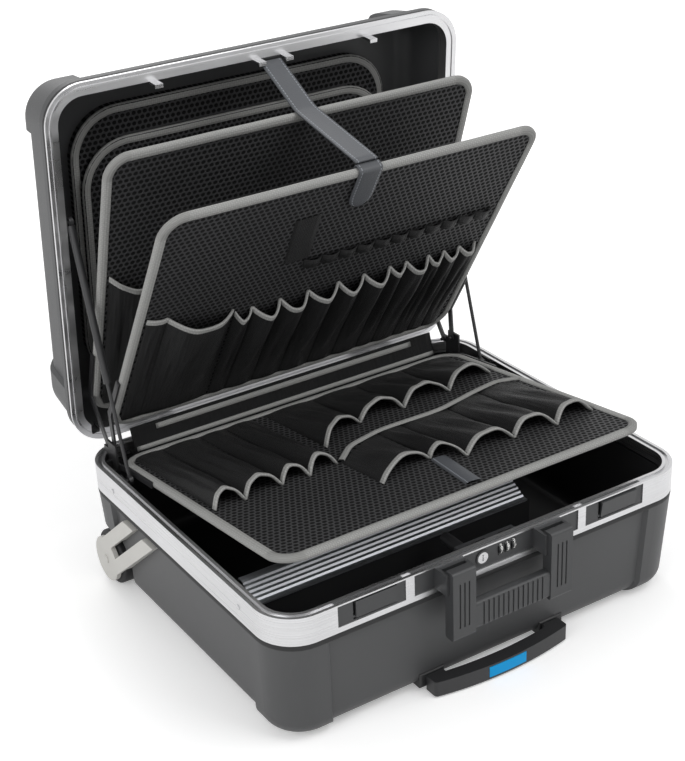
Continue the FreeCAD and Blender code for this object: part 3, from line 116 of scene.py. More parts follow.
class ShellSettings(bpy.types.PropertyGroup):
    """Colours of the moulded and metal pieces."""
    shell_colour: bpy.props.FloatVectorProperty(
        name="Shell", description="Moulded half shells", default=(0.058, 0.059, 0.061), **COLOUR)
    hardware_colour: bpy.props.FloatVectorProperty(
        name="Hardware", description="Latches, lock and handle", default=(0.038, 0.039, 0.041), **COLOUR)
    inner_colour: bpy.props.FloatVectorProperty(
        name="Inner parts", description="Tray, brackets, stays, tyres and trolley grip",
        default=(0.013, 0.013, 0.014), **COLOUR)
    aluminium_colour: bpy.props.FloatVectorProperty(
        name="Aluminium", description="Edge frames and hinge leaves", default=(0.66, 0.66, 0.67), **COLOUR)
    bracket_colour: bpy.props.FloatVectorProperty(
        name="Wheel brackets", description="Light grey moulding", default=(0.62, 0.61, 0.58), **COLOUR)
    button_colour: bpy.props.FloatVectorProperty(
        name="Button", description="Push button of the trolley grip", default=(0.0, 0.36, 0.78), **COLOUR)
    grain_size: bpy.props.FloatProperty(
        name="Grain", description="Size of the moulded grain", min=0.0002, max=0.01, default=0.0012, **LENGTH)


class ClothSettings(bpy.types.PropertyGroup):
    """Sizes and colours of the boards' cloth pieces."""
    nylon_colour: bpy.props.FloatVectorProperty(
        name="Nylon", description="Pocket cloth", default=(0.0042, 0.0042, 0.0046), **COLOUR)
    tape_colour: bpy.props.FloatVectorProperty(
        name="Tape", description="Binding tape", default=(0.34, 0.34, 0.33), **COLOUR)
    board_colour: bpy.props.FloatVectorProperty(
        name="Board", description="Net side of the embossed boards", default=(0.050, 0.050, 0.052), **COLOUR)
    strap_colour: bpy.props.FloatVectorProperty(
        name="Strap", description="Synthetic leather", default=(0.078, 0.083, 0.092), **COLOUR)
    cell_pitch: bpy.props.FloatProperty(
        name="Cell pitch", description="Distance between embossed cells", min=0.002, max=0.02,
        default=0.0066, **LENGTH)
    tape_width: bpy.props.FloatProperty(
        name="Tape width", description="Width of the tape on the pocket mouths", min=0.002, max=0.02,
        default=0.0066, **LENGTH)
    tape_thickness: bpy.props.FloatProperty(
        name="Tape thickness", description="Thickness of the folded tape", min=0.0005, max=0.01,
        default=0.0028, **LENGTH)


class StageSettings(bpy.types.PropertyGroup):
    """Camera, floor and lights."""
    camera_azimuth: bpy.props.FloatProperty(
        name="Azimuth", description="Turn of the view about the vertical", default=math.radians(32.203),
        **ANGLE)
    camera_elevation: bpy.props.FloatProperty(
        name="Elevation", description="Slope of the view", default=math.radians(26.658), **ANGLE)
    camera_roll: bpy.props.FloatProperty(
        name="Roll", description="Turn of the picture", default=math.radians(-2.3626), **ANGLE)
    camera_offset: bpy.props.FloatVectorProperty(
        name="Place", description="Camera from the middle of the rim", subtype="TRANSLATION", size=3,
        unit="LENGTH", default=(-0.8398, -1.2663, 0.8557))
    camera_lens: bpy.props.FloatProperty(
        name="Lens", description="Focal length", unit="CAMERA", default=77.87)
    floor_colour: bpy.props.FloatVectorProperty(
        name="Floor", description="Floor", default=(0.80, 0.80, 0.80), **COLOUR)
    key_power: bpy.props.FloatProperty(
        name="Key light", description="Power of the key light", unit="POWER", min=0.0, default=21.0)
    fill_power: bpy.props.FloatProperty(
        name="Fill lights", description="Power of the fill and back lights", unit="POWER", min=0.0,
        default=15.0)
    world_level: bpy.props.FloatProperty(
        name="World", description="Level of the surrounding light", min=0.0, max=2.0, default=0.50)


# Node helpers

def feed(tree, socket, value):
    """Links a socket to the output of another node, or sets its value."""
    if hasattr(value, "links"):
        tree.links.new(value, socket)
    else:
        socket.default_value = value


def math_node(tree, operation, *values):
    node = tree.nodes.new("ShaderNodeMath")
    node.operation = operation
    for socket, value in zip(node.inputs, values):
        feed(tree, socket, value)
    return node.outputs[0]


def noise(tree, vector, scale, detail=2.0, rough=0.5):
    node = tree.nodes.new("ShaderNodeTexNoise")
    for key, value in (("Vector", vector), ("Scale", scale), ("Detail", detail), ("Roughness", rough)):
        feed(tree, node.inputs[key], value)
    return node.outputs["Fac"]


def scaled(tree, vector, scale):
    node = tree.nodes.new("ShaderNodeVectorMath")
    node.operation = "MULTIPLY"
    feed(tree, node.inputs[0], vector)
    feed(tree, node.inputs[1], scale)
    return node.outputs[0]


def split_axes(tree, vector):
    node = tree.nodes.new("ShaderNodeSeparateXYZ")
    tree.links.new(vector, node.inputs[0])
    return node.outputs


def mix_colour(tree, share, first, second):
    node = tree.nodes.new("ShaderNodeMix")
    node.data_type = "RGBA"
    feed(tree, node.inputs["Factor"], share)
    for key, value in (("A", first), ("B", second)):
        socket = [s for s in node.inputs if s.name == key and s.type == "RGBA"][0]
        feed(tree, socket, value if hasattr(value, "links") else (*value, 1.0))
    return [s for s in node.outputs if s.type == "RGBA"][0]


def spread(tree, value, low, high, start=0.0, end=1.0):
    """Maps what runs from start to end onto low to high."""
    node = tree.nodes.new("ShaderNodeMapRange")
    tree.links.new(value, node.inputs["Value"])
    for key, level in (("From Min", start), ("From Max", end), ("To Min", low), ("To Max", high)):
        node.inputs[key].default_value = level
    return node.outputs[0]


def tint(colour, factor):
    return tuple(min(1.0, c * factor) for c in colour)


# Shared effects, each a node group that is built at its first use

def new_group(name, control, default, outputs):
    """Empty group with a Vector and one control; returns the tree and its two ends."""
    tree = bpy.data.node_groups.new(name, "ShaderNodeTree")
    tree.interface.new_socket(name="Vector", in_out="INPUT", socket_type="NodeSocketVector")
    kind = "NodeSocketVector" if isinstance(default, tuple) else "NodeSocketFloat"
    made = tree.interface.new_socket(name=control, in_out="INPUT", socket_type=kind)
    made.default_value = default
    for output in outputs:
        tree.interface.new_socket(name=output, in_out="OUTPUT", socket_type="NodeSocketFloat")
    return tree, tree.nodes.new("NodeGroupInput").outputs, tree.nodes.new("NodeGroupOutput").inputs


def grain_effect(name):
    """Fine moulded grain with faint handling marks."""
    tree, given, out = new_group(name, "Grain", 900.0, ("Height", "Tone", "Marks"))
    vector = given["Vector"]
    streaks = noise(tree, scaled(tree, vector, (60.0, 9.0, 9.0)), scale=4.0, detail=4.0, rough=0.7)
    tree.links.new(noise(tree, vector, given["Grain"], detail=3.0, rough=0.6), out["Height"])
    tree.links.new(noise(tree, vector, scale=9.0, detail=3.0, rough=0.6), out["Tone"])
    tree.links.new(spread(tree, streaks, low=0.0, high=1.0, start=0.60, end=0.78), out["Marks"])


def drawn_effect(name):
    """Lines of brushed or drawn aluminium along one direction."""
    tree, given, out = new_group(name, "Stretch", (4.0, 4.0, 900.0), ("Height", "Tone"))
    lines = noise(tree, scaled(tree, given["Vector"], given["Stretch"]), scale=1.0)
    tree.links.new(lines, out["Height"])
    tree.links.new(noise(tree, given["Vector"], scale=14.0, detail=3.0, rough=0.6), out["Tone"])


def cells_effect(name):
    """Rows of small embossed cells, every second row shifted by half a pitch."""
    rows_per_pitch = 1.12
    tree, given, out = new_group(name, "Cells", 180.0, ("Hollow", "Net"))
    axes = split_axes(tree, given["Vector"])
    across = math_node(tree, "MULTIPLY", axes["X"], given["Cells"])
    along = math_node(tree, "MULTIPLY", axes["Y"], given["Cells"])
    along = math_node(tree, "MULTIPLY", along, rows_per_pitch)
    odd = math_node(tree, "FLOORED_MODULO", math_node(tree, "FLOOR", along), 2.0)
    across = math_node(tree, "ADD", across, math_node(tree, "MULTIPLY", odd, 0.5))
    squares = []
    for place in (across, along):
        offset = math_node(tree, "SUBTRACT", math_node(tree, "FRACT", place), 0.5)
        squares.append(math_node(tree, "MULTIPLY", offset, offset))
    reach = math_node(tree, "SQRT", math_node(tree, "ADD", *squares))
    hollow = spread(tree, reach, low=1.0, high=0.0, start=0.32, end=0.44)
    tree.links.new(hollow, out["Hollow"])
    tree.links.new(math_node(tree, "SUBTRACT", 1.0, hollow), out["Net"])


def weave_effect(name):
    """Plain weave laid along the piece's own length and width in metres."""
    thread_share = 0.35
    checker_share = 0.15
    tree, given, out = new_group(name, "Threads", 1600.0, ("Height", "Tone"))
    axes = split_axes(tree, given["Vector"])
    waves = []
    for axis in ("X", "Y"):
        count = math_node(tree, "MULTIPLY", axes[axis], given["Threads"])
        waves.append(math_node(tree, "SINE", math_node(tree, "MULTIPLY", count, math.pi)))
    checker = math_node(tree, "MULTIPLY", *waves)
    threads = math_node(tree, "ADD", *[math_node(tree, "ABSOLUTE", wave) for wave in waves])
    height = math_node(tree, "ADD", math_node(tree, "MULTIPLY", threads, thread_share),
                       math_node(tree, "MULTIPLY", checker, checker_share))
    tree.links.new(height, out["Height"])
    tree.links.new(noise(tree, given["Vector"], scale=45.0, detail=4.0, rough=0.65), out["Tone"])


EFFECTS = {"Moulded grain": grain_effect, "Drawn lines": drawn_effect, "Embossed cells": cells_effect,
           "Plain weave": weave_effect}


def place_effect(tree, name, **values):
    """Places a shared effect in a material and feeds its inputs; returns its outputs."""
    if name not in bpy.data.node_groups:
        EFFECTS[name](name)
    node = tree.nodes.new("ShaderNodeGroup")
    node.node_tree = bpy.data.node_groups[name]
    for key, value in values.items():
        feed(tree, node.inputs[key], value)
    return node.outputs


# Materials

DRAWN_DEPTH = 0.00004
RAIL_LINE_DEPTH = 0.00001
CELL_DEPTH = 0.0008
NYLON_DEPTH = 0.0006
TAPE_DEPTH = 0.0005
LEATHER_DEPTH = 0.0003
FINE_GRAIN = 1400.0
LEATHER_GRAIN = 700.0
NYLON_THREADS = 1500.0
TAPE_THREADS = 640.0
NYLON_CREASES = (70.0, 9.0, 1.0)
CREASE_HEIGHT = 12.0
STITCH_INSET = 0.0030
STITCH_EDGES = (0.0004, 0.0008)
STITCHES_PER_METRE = 250.0
STITCH_SHARE = 0.68


def blank_material(name):
    material = bpy.data.materials.new(name)
    material.use_nodes = True
    tree = material.node_tree
    tree.nodes.clear()
    shader = tree.nodes.new("ShaderNodeBsdfPrincipled")
    output = tree.nodes.new("ShaderNodeOutputMaterial")
    tree.links.new(shader.outputs[0], output.inputs["Surface"])
    return material, tree, shader


def material_named(name):
    return bpy.data.materials[name]


def coordinates(tree, kind="Object"):
    return tree.nodes.new("ShaderNodeTexCoord").outputs[kind]


def bump(tree, shader, height, depth):
    node = tree.nodes.new("ShaderNodeBump")
    node.inputs["Strength"].default_value = 1.0
    node.inputs["Distance"].default_value = depth
    tree.links.new(height, node.inputs["Height"])
    tree.links.new(node.outputs[0], shader.inputs["Normal"])


def seen_directly(tree):
    """1 where the camera or a glossy surface looks, 0 where light is gathered."""
    path = tree.nodes.new("ShaderNodeLightPath")
    return math_node(tree, "MAXIMUM", path.outputs["Is Camera Ray"], path.outputs["Is Glossy Ray"])


def moulded_material(name, colour, grain, rough, depth, mark_share=0.12):
    """Grained plastic: darker and lighter patches, fine bump and faint paler marks."""
    material, tree, shader = blank_material(name)
    made = place_effect(tree, "Moulded grain", Vector=coordinates(tree), Grain=1.0 / grain)
    base = mix_colour(tree, made["Tone"], tint(colour, 0.84), tint(colour, 1.16))
    marks = math_node(tree, "MULTIPLY", made["Marks"], mark_share)
    tree.links.new(mix_colour(tree, marks, base, tint(colour, 2.2)), shader.inputs["Base Color"])
    tree.links.new(spread(tree, made["Tone"], *rough), shader.inputs["Roughness"])
    bump(tree, shader, made["Height"], depth)
    return material


def metal_material(name, colour, stretch, rough, depth=DRAWN_DEPTH):
    """Drawn metal with lines along one axis."""
    material, tree, shader = blank_material(name)
    shader.inputs["Metallic"].default_value = 1.0
    made = place_effect(tree, "Drawn lines", Vector=coordinates(tree), Stretch=stretch)
    base = mix_colour(tree, made["Tone"], tint(colour, 0.84), tint(colour, 1.08))
    lines = spread(tree, made["Height"], low=0.0, high=1.0, start=0.30, end=0.62)
    tree.links.new(mix_colour(tree, lines, tint(colour, 0.84), base), shader.inputs["Base Color"])
    tree.links.new(spread(tree, made["Height"], *rough, start=0.3, end=0.7), shader.inputs["Roughness"])
    bump(tree, shader, made["Height"], depth)
    return material


def cell_material(name, colour, pitch, turn):
    """Embossed board with painted shade in the cell hollows; turn lays the cell rows in the board's own
    plane.
    """
    material, tree, shader = blank_material(name)
    mapping = tree.nodes.new("ShaderNodeMapping")
    mapping.inputs["Rotation"].default_value = (turn, 0.0, 0.0)
    tree.links.new(coordinates(tree), mapping.inputs["Vector"])
    made = place_effect(tree, "Embossed cells", Vector=mapping.outputs[0], Cells=1.0 / pitch)
    grain = place_effect(tree, "Moulded grain", Vector=coordinates(tree), Grain=FINE_GRAIN)
    net = mix_colour(tree, grain["Tone"], tint(colour, 0.75), tint(colour, 1.3))
    # The cell hollows are painted almost black: painted shade in the recesses.
    tree.links.new(mix_colour(tree, made["Hollow"], net, tint(colour, 0.03)), shader.inputs["Base Color"])
    tree.links.new(spread(tree, made["Hollow"], low=0.50, high=0.85), shader.inputs["Roughness"])
    shader.inputs["Specular IOR Level"].default_value = 0.2
    bump(tree, shader, made["Net"], CELL_DEPTH)
    return material


def nylon_material(name, colour):
    """Coated pocket nylon: plain weave, soft creases and a low sheen."""
    material, tree, shader = blank_material(name)
    uv = coordinates(tree, "UV")
    made = place_effect(tree, "Plain weave", Vector=uv, Threads=NYLON_THREADS)
    base = mix_colour(tree, made["Tone"], tint(colour, 0.65), tint(colour, 1.5))
    tree.links.new(base, shader.inputs["Base Color"])
    tree.links.new(spread(tree, made["Tone"], low=0.40, high=0.60), shader.inputs["Roughness"])
    shader.inputs["Specular IOR Level"].default_value = 0.28
    shader.inputs["Sheen Weight"].default_value = 0.02
    shader.inputs["Sheen Roughness"].default_value = 0.4
    creases = noise(tree, scaled(tree, uv, NYLON_CREASES), scale=1.0)
    height = math_node(tree, "ADD", math_node(tree, "MULTIPLY", creases, CREASE_HEIGHT), made["Height"])
    bump(tree, shader, height, NYLON_DEPTH)
    return material


def tape_material(name, colour):
    """Woven binding tape with fine cross ribs."""
    material, tree, shader = blank_material(name)
    made = place_effect(tree, "Plain weave", Vector=coordinates(tree, "UV"), Threads=TAPE_THREADS)
    base = mix_colour(tree, made["Height"], tint(colour, 0.72), tint(colour, 1.30))
    tree.links.new(base, shader.inputs["Base Color"])
    tree.links.new(spread(tree, made["Tone"], low=0.70, high=0.90), shader.inputs["Roughness"])
    bump(tree, shader, made["Height"], TAPE_DEPTH)
    return material


def leather_material(name, colour, half_width):
    """Synthetic leather with a stitched line near each edge."""
    material, tree, shader = blank_material(name)
    axes = split_axes(tree, coordinates(tree, "UV"))
    grain = place_effect(tree, "Moulded grain", Vector=coordinates(tree), Grain=LEATHER_GRAIN)
    side = math_node(tree, "ABSOLUTE", axes["X"])
    away = math_node(tree, "ABSOLUTE", math_node(tree, "SUBTRACT", side, half_width - STITCH_INSET))
    on_line = spread(tree, away, 1.0, 0.0, *STITCH_EDGES)
    dash = math_node(tree, "FRACT", math_node(tree, "MULTIPLY", axes["Y"], STITCHES_PER_METRE))
    stitch = math_node(tree, "MULTIPLY", on_line, math_node(tree, "LESS_THAN", dash, STITCH_SHARE))
    base = mix_colour(tree, grain["Tone"], tint(colour, 0.8), tint(colour, 1.25))
    tree.links.new(mix_colour(tree, stitch, base, tint(colour, 3.6)), shader.inputs["Base Color"])
    tree.links.new(spread(tree, grain["Tone"], low=0.38, high=0.52), shader.inputs["Roughness"])
    height = math_node(tree, "ADD", grain["Height"], math_node(tree, "MULTIPLY", stitch, 1.5))
    bump(tree, shader, height, LEATHER_DEPTH)
    return material


def paint(names, material):
    for name in names:
        mesh = NODES[name].data
        mesh.materials.clear()
        mesh.materials.append(material)


# Paths

def between(first, last, count):
    """Evenly spaced points from the first to just short of the last."""
    return [tuple(a + (b - a) * k / count for a, b in zip(first, last)) for k in range(count)]


def normal_at(path, i):
    """Unit normal of a path of pairs at one of its points."""
    before = path[max(i - 1, 0)]
    after = path[min(i + 1, len(path) - 1)]
    run = math.dist(before, after)
    return -(after[1] - before[1]) / run, (after[0] - before[0]) / run


def rounded_run(corners, radius):
    """Rounds the corners of a path of pairs with short arcs and divides its runs."""
    arc_steps = 5
    run_step = 0.008
    points = [corners[0]]
    for before, corner, after in zip(corners, corners[1:], corners[2:]):
        ends = []
        for toward in (before, after):
            length = math.dist(toward, corner)
            share = min(radius, length * 0.45) / length
            ends.append(tuple(c + (w - c) * share for c, w in zip(corner, toward)))
        for k in range(arc_steps + 1):
            t = k / arc_steps
            points.append(tuple((1 - t) ** 2 * a + 2 * t * (1 - t) * c + t * t * b
                                for a, c, b in zip(ends[0], corner, ends[1])))
    points.append(corners[-1])
    fine = []
    for a, b in zip(points, points[1:]):
        fine += between(a, b, max(1, int(math.dist(a, b) / run_step)))
    return fine + [points[-1]]


def rounded_outline(half, low, high, corner):
    """Points and outward directions around a rounded rectangle, anticlockwise."""
    arc_steps = 8
    run_step = 0.03
    places = []
    centres = ((half - corner, low + corner, -90), (half - corner, high - corner, 0),
               (corner - half, high - corner, 90), (corner - half, low + corner, 180))
    for x, y, start in centres:
        for i in range(arc_steps + 1):
            angle = math.radians(start + 90 * i / arc_steps)
            out = Vector((math.cos(angle), math.sin(angle), 0.0))
            places.append((Vector((x, y, 0.0)) + out * corner, out))
    dense = []
    for i, (place, out) in enumerate(places):
        after, out_after = places[(i + 1) % len(places)]
        count = max(1, int((after - place).length / run_step))
        for k in range(count):
            share = k / count
            dense.append((place.lerp(after, share), out.lerp(out_after, share).normalized()))
    return dense


# Cloth pieces

class Cloth:
    """Gathers several sheets and tapes into one mesh, with a UV map in metres."""

    def __init__(self):
        self.verts = []
        self.faces = []
        self.uvs = []

    def grid(self, rows, cols, place, size, close=False):
        """A grid of points; place(i, j) gives a point, size the width and length for the UV map."""
        start = len(self.verts)
        for i in range(rows):
            for j in range(cols):
                self.verts.append(place(i, j))
                self.uvs.append((j / (cols - 1) * size[0], i / (rows - 1) * size[1]))
        wrap = cols if close else cols - 1
        for i in range(rows - 1):
            for j in range(wrap):
                k = (j + 1) % cols
                a = start + i * cols
                self.faces.append((a + j, a + k, a + cols + k, a + cols + j))

    def ring(self, outline, section, wavers, size, close=False):
        """A section of inward and upward distances carried round a closed outline."""
        def place(i, j):
            where, out = outline[i % len(outline)]
            inward, height = section[j]
            return where - out * (inward + wavers[i % len(outline)]) + Vector((0, 0, height))
        self.grid(len(outline) + 1, len(section), place, size, close)

    def caps(self, rows, cols):
        """Closes both ends of the closed grid added last."""
        start = len(self.verts) - rows * cols
        self.faces.append(tuple(start + j for j in range(cols))[::-1])
        self.faces.append(tuple(start + (rows - 1) * cols + j for j in range(cols)))

    def made(self, name, material, matrix):
        """The mesh object of all that was gathered."""
        mesh = bpy.data.meshes.new(name)
        mesh.from_pydata([matrix @ v for v in self.verts], [], self.faces)
        layer = mesh.uv_layers.new(name="metres")
        for loop in mesh.loops:
            layer.data[loop.index].uv = self.uvs[loop.vertex_index]
        mesh.update()
        for polygon in mesh.polygons:
            polygon.use_smooth = True
        mesh.materials.append(material)
        made = bpy.data.objects.new(name, mesh)
        bpy.context.scene.collection.objects.link(made)
        return made


def thicken(made, depth):
    solid = made.modifiers.new("Cloth thickness", "SOLIDIFY")
    solid.thickness = depth
    solid.offset = -1.0
    return made


TAPE_BULGE = 0.00024
TAPE_WAVER = 0.00018


def board_binding(name, node, matrix, outline, body, material, half=BINDING_HALF):
    """Light grey tape folded round a board's edge."""
    width = BINDING_WIDTH
    section = [(width, half * 0.62), (width * 0.94, half * 0.96), (width * 0.55, half + TAPE_BULGE),
               (width * 0.2, half * 0.94), (width * 0.03, half * 0.62), (0.0, 0.0)]
    section += [(inward, -height) for inward, height in section[-2::-1]]
    rng = random.Random(len(name))
    wavers = [rng.uniform(-TAPE_WAVER, TAPE_WAVER) for _ in outline]
    length = sum((outline[(i + 1) % len(outline)][0] - outline[i][0]).length for i in range(len(outline)))
    cloth = Cloth()
    cloth.ring(outline, section, wavers, (2 * width, length))
    made = cloth.made(name, material, matrix)
    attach(made, body)
    if node:
        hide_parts(node)
    return made


FLAT_TAPE_SHARES = ((-0.5, 0.0), (-0.5, 0.6), (-0.3, 1.0), (0.3, 1.0), (0.5, 0.6), (0.5, 0.0))


def flat_tape(cloth, points, width, thick, lift):
    """Tape sewn flat along a line on the board; points are x and y."""
    uv_step = 0.01
    fine = [spot for a, b in zip(points, points[1:]) for spot in between(a, b, 6)] + [points[-1]]
    for _ in range(2):
        fine = [fine[0]] + [tuple((a + 2 * b + c) / 4 for a, b, c in zip(*fine[i - 1:i + 2]))
                            for i in range(1, len(fine) - 1)] + [fine[-1]]

    def place(i, j):
        x, y = fine[i]
        nx, ny = normal_at(fine, i)
        across, up = FLAT_TAPE_SHARES[j]
        return Vector((x + nx * across * width, y + ny * across * width, lift + up * thick))
    cloth.grid(len(fine), len(FLAT_TAPE_SHARES), place, (width, len(fine) * uv_step))


STRAP_SHARES = ((-1.0, 0.0), (-0.96, 0.42), (-0.85, 0.5), (-0.3, 0.56), (0.3, 0.56), (0.85, 0.5),
                (0.96, 0.42), (1.0, 0.0), (0.96, -0.42), (0.85, -0.5), (0.3, -0.5), (-0.3, -0.5),
                (-0.85, -0.5), (-0.96, -0.42))
ROUND_END_SHARE = 0.25


def strap_piece(name, path, half, thick, centre, material, rounded=False):
    """Band with rounded edges that follows a path of y and z points; its end may be round."""
    cloth = Cloth()
    run = [0.0]
    for a, b in zip(path, path[1:]):
        run.append(run[-1] + math.dist(a, b))

    def place(i, j):
        ny, nz = normal_at(path, i)
        across, out = STRAP_SHARES[j]
        left = min((run[-1] - run[i]) / half, 1.0) if rounded else 1.0
        across *= max(math.sqrt(1 - (1 - left) ** 2), ROUND_END_SHARE)
        return Vector((centre + across * half, path[i][0] + ny * out * thick, path[i][1] + nz * out * thick))
    cloth.grid(len(path), len(STRAP_SHARES), place, (2 * half, run[-1]), close=True)
    cloth.uvs = [(across * half, along) for along in run for across, _ in STRAP_SHARES]
    cloth.caps(len(path), len(STRAP_SHARES))
    return cloth.made(name, material, Matrix.Identity(4))


# Pockets: seams give x and the mouth's distance from the board's hinge edge.

SEAM_MARGIN = 0.012
SEAM_GAP = 0.001
POCKET_CLEARANCE = 0.0004
POCKET_FLOOR = BOARD_FACE + POCKET_CLEARANCE
POCKET_THICKNESS = 0.0010
POCKET_FOLD = 0.0024
LEAST_RISE = 0.006
MOUTH_DIPS = (0.004, 0.008)
FOLD_PHASES = (0, 6.28)
SEAM_LEAN_SHARES = (-0.06, 0.06)
SPAN_SHARE = 0.45
BACK_FALL_SHARE = 0.86
MOUTH_LIP = 0.0008
MOUTH_TAPE_SHARES = ((0.0, 0.5), (0.25, 0.56), (0.75, 0.52), (1.0, 0.30), (1.0, -0.25), (0.75, -0.45),
                     (0.25, -0.5), (0.0, -0.42))


def smooth_step(value):
    value = min(max(value, 0.0), 1.0)
    return value * value * (3 - 2 * value)


class Pocket:
    """One sewn pocket between two seams, its surface a function of two shares."""

    def __init__(self, left, right, backs, height, power, sign, seed, fold=POCKET_FOLD, dip_share=1.0):
        self.left = left
        self.right = right
        self.backs = backs
        self.height = height
        self.power = power
        self.sign = sign
        self.fold = fold
        rng = random.Random(seed)
        self.phase = rng.uniform(*FOLD_PHASES)
        self.folds = rng.choice((2, 3))
        self.lean = rng.uniform(*SEAM_LEAN_SHARES)
        self.dip = rng.uniform(*MOUTH_DIPS) * dip_share

    def at(self, s, t):
        """The point at share s from seam to seam and share t from the mouth to the back."""
        x0, m0 = self.left
        x1, m1 = self.right
        skew = s + self.lean * math.sin(math.pi * s) * (1 - t)
        x = x0 + (x1 - x0) * skew
        mouth = m0 + (m1 - m0) * s - self.dip * math.sin(math.pi * s)
        back = self.backs[0] + (self.backs[1] - self.backs[0]) * s
        y = mouth + (back - mouth) * t
        arch = 1 - abs(2 * s - 1) ** self.power
        fall = 1 - smooth_step(t) * BACK_FALL_SHARE
        z = POCKET_FLOOR + self.height * fall * arch
        ripple = math.cos(2 * math.pi * self.folds * s + self.phase + 1.5 * t)
        z += self.fold * ripple * arch * math.sin(math.pi * min(1.0, t * 1.1 + 0.06))
        return Vector((x, self.sign * y, max(z, POCKET_FLOOR)))

    def sheet(self, cloth):
        """The pocket's cloth."""
        rows = 22
        cols = 17
        width = self.right[0] - self.left[0] + self.height
        length = abs(self.left[1] - self.backs[0])
        cloth.grid(rows, cols, lambda i, j: self.at(j / (cols - 1), i / (rows - 1)), (width, length))

    def trim(self, cloth, width, thick):
        """Tape folded over the mouth."""
        steps = 19
        nearby = 0.02
        section = [(-MOUTH_LIP, 0.0)] + [(inward * width, lift * thick) for inward, lift in MOUTH_TAPE_SHARES]
        length = abs(self.left[1] - self.backs[0])
        share = width / max(length, width)

        def place(i, j):
            s = i / (steps - 1)
            here = self.at(s, 0.0)
            along = (self.at(s, share) - here).normalized()
            side = (self.at(min(s + nearby, 1.0), 0.0) - self.at(max(s - nearby, 0.0), 0.0)).normalized()
            out = along.cross(side)
            if out.z < 0:
                out.negate()
            inward, lift = section[j]
            return here + along * inward + out * lift
        cloth.grid(steps, len(section), place, (width, self.right[0] - self.left[0]), close=True)
        cloth.caps(steps, len(section))


def row_of_pockets(seams, backs, height, power, sign, seed):
    """A pocket between each two seams, except where the mouth steps by more than the width."""
    pockets = []
    for i in range(len(seams) - 1):
        left = (seams[i][0] + SEAM_GAP / 2, seams[i][1])
        right = (seams[i + 1][0] - SEAM_GAP / 2, seams[i + 1][1])
        span = right[0] - left[0]
        if abs(right[1] - left[1]) > span:
            continue
        rise = max(min(height, span * SPAN_SHARE), LEAST_RISE)
        pockets.append(Pocket(left, right, (backs[i], backs[i + 1]), rise, power, sign, seed + i))
    return pockets


def sew(name, pockets, node, body, matrix, given):
    """Two pieces: the pocket cloth that stands for the CAD node, and the tapes on the mouths."""
    cloth = Cloth()
    trims = Cloth()
    for pocket in pockets:
        pocket.sheet(cloth)
        pocket.trim(trims, given.tape_width, given.tape_thickness)
    made = thicken(cloth.made(name, material_named("pocket_nylon"), matrix), POCKET_THICKNESS)
    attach(made, body)
    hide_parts(node)
    edge = trims.made(name + "_tape", material_named("binding_tape"), matrix)
    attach(edge, body)


# Operators

# Moulded finishes: setting, shade, share of the grain, roughness, depth of the grain, marks and nodes
MOULDED_FINISHES = {
    "shell_abs": ("shell_colour", 1.0, 1.0, (0.42, 0.56), 0.00016, 0.12, ("base_shell", "lid_shell")),
    "hardware_plastic": ("hardware_colour", 1.0, 0.6, (0.36, 0.50), 0.00006, 0.12, (
        "latch_plates", "latch_lever_left", "latch_lever_right", "lock_plate", "handle_mounts",
        "carry_handle", "front_lining")),
    "inner_plastic": ("inner_colour", 1.0, 1.0, (0.40, 0.58), 0.00008, 0.12, (
        "base_tray", "divider_walls", "lock_body", "board_brackets", "trolley_guide")),
    # The strap anchor takes this dark finish as painted shade, where the strap runs into the shadow under the
    # lid frame.
    "grip_plastic": ("inner_colour", 1.5, 0.7, (0.38, 0.50), 0.00008, 0.12, (
        "trolley_grip", "strut_cylinder_left", "strut_cylinder_right", "strut_rod_left", "strut_rod_right",
        "strut_brackets_base", "strut_brackets_lid", "strap_anchor", "front_board_arms",
        "middle_board_arms", "base_board_arms")),
    "bracket_plastic": ("bracket_colour", 1.0, 1.0, (0.45, 0.60), 0.00008, 0.05, ("wheel_brackets",)),
    "button_plastic": ("button_colour", 1.0, 0.5, (0.28, 0.38), 0.00003, 0.0, ("push_button",)),
    "tyre_rubber": ("inner_colour", 1.1, 1.0, (0.62, 0.80), 0.00010, 0.12, (
        "feet", "wheel_left", "wheel_right")),
    "dial_plastic": ("hardware_colour", 0.7, 0.5, (0.30, 0.42), 0.00003, 0.12, (
        "number_dial_1", "number_dial_2", "number_dial_3")),
}
RAIL_COLOUR = (0.56, 0.58, 0.61)
STEEL_COLOUR = (0.62, 0.62, 0.63)
FRAME_STRETCH = (5.0, 5.0, 700.0)
LID_STRETCH = (5.0, 700.0, 5.0)
RAIL_STRETCH = (5.0, 240.0, 240.0)
STEEL_STRETCH = (60.0, 60.0, 600.0)
FRAME_ROUGH = (0.24, 0.40)
RAIL_ROUGH = (0.40, 0.48)
STEEL_ROUGH = (0.18, 0.32)


class CASE_OT_finishes(bpy.types.Operator):
    """Gives the moulded and metal CAD nodes their finishes"""
    bl_idname = "case.finishes"
    bl_label = "Finishes"

    def execute(self, context):
        given = context.scene.case_shell
        for name, (setting, shade, share, rough, depth, marks, nodes) in MOULDED_FINISHES.items():
            colour = tint(getattr(given, setting), shade)
            paint(nodes, moulded_material(name, colour, given.grain_size * share, rough, depth, marks))
        button = material_named("button_plastic").node_tree.nodes["Principled BSDF"]
        button.inputs["Specular IOR Level"].default_value = 0.2
        aluminium = given.aluminium_colour
        paint(["base_frame", "frame_rivets", "hinge_leaves_base", "hinge_leaves_lid"],
              metal_material("frame_aluminium", aluminium, FRAME_STRETCH, FRAME_ROUGH))
        paint(["lid_frame"], metal_material("lid_aluminium", aluminium, LID_STRETCH, FRAME_ROUGH))
        paint(["front_rail", "trolley_tubes"],
              metal_material("rail_aluminium", RAIL_COLOUR, RAIL_STRETCH, RAIL_ROUGH, RAIL_LINE_DEPTH))
        paint(["hinge_pins", "key_cylinder", "strikers"],
              metal_material("bright_steel", STEEL_COLOUR, STEEL_STRETCH, STEEL_ROUGH))
        return {"FINISHED"}
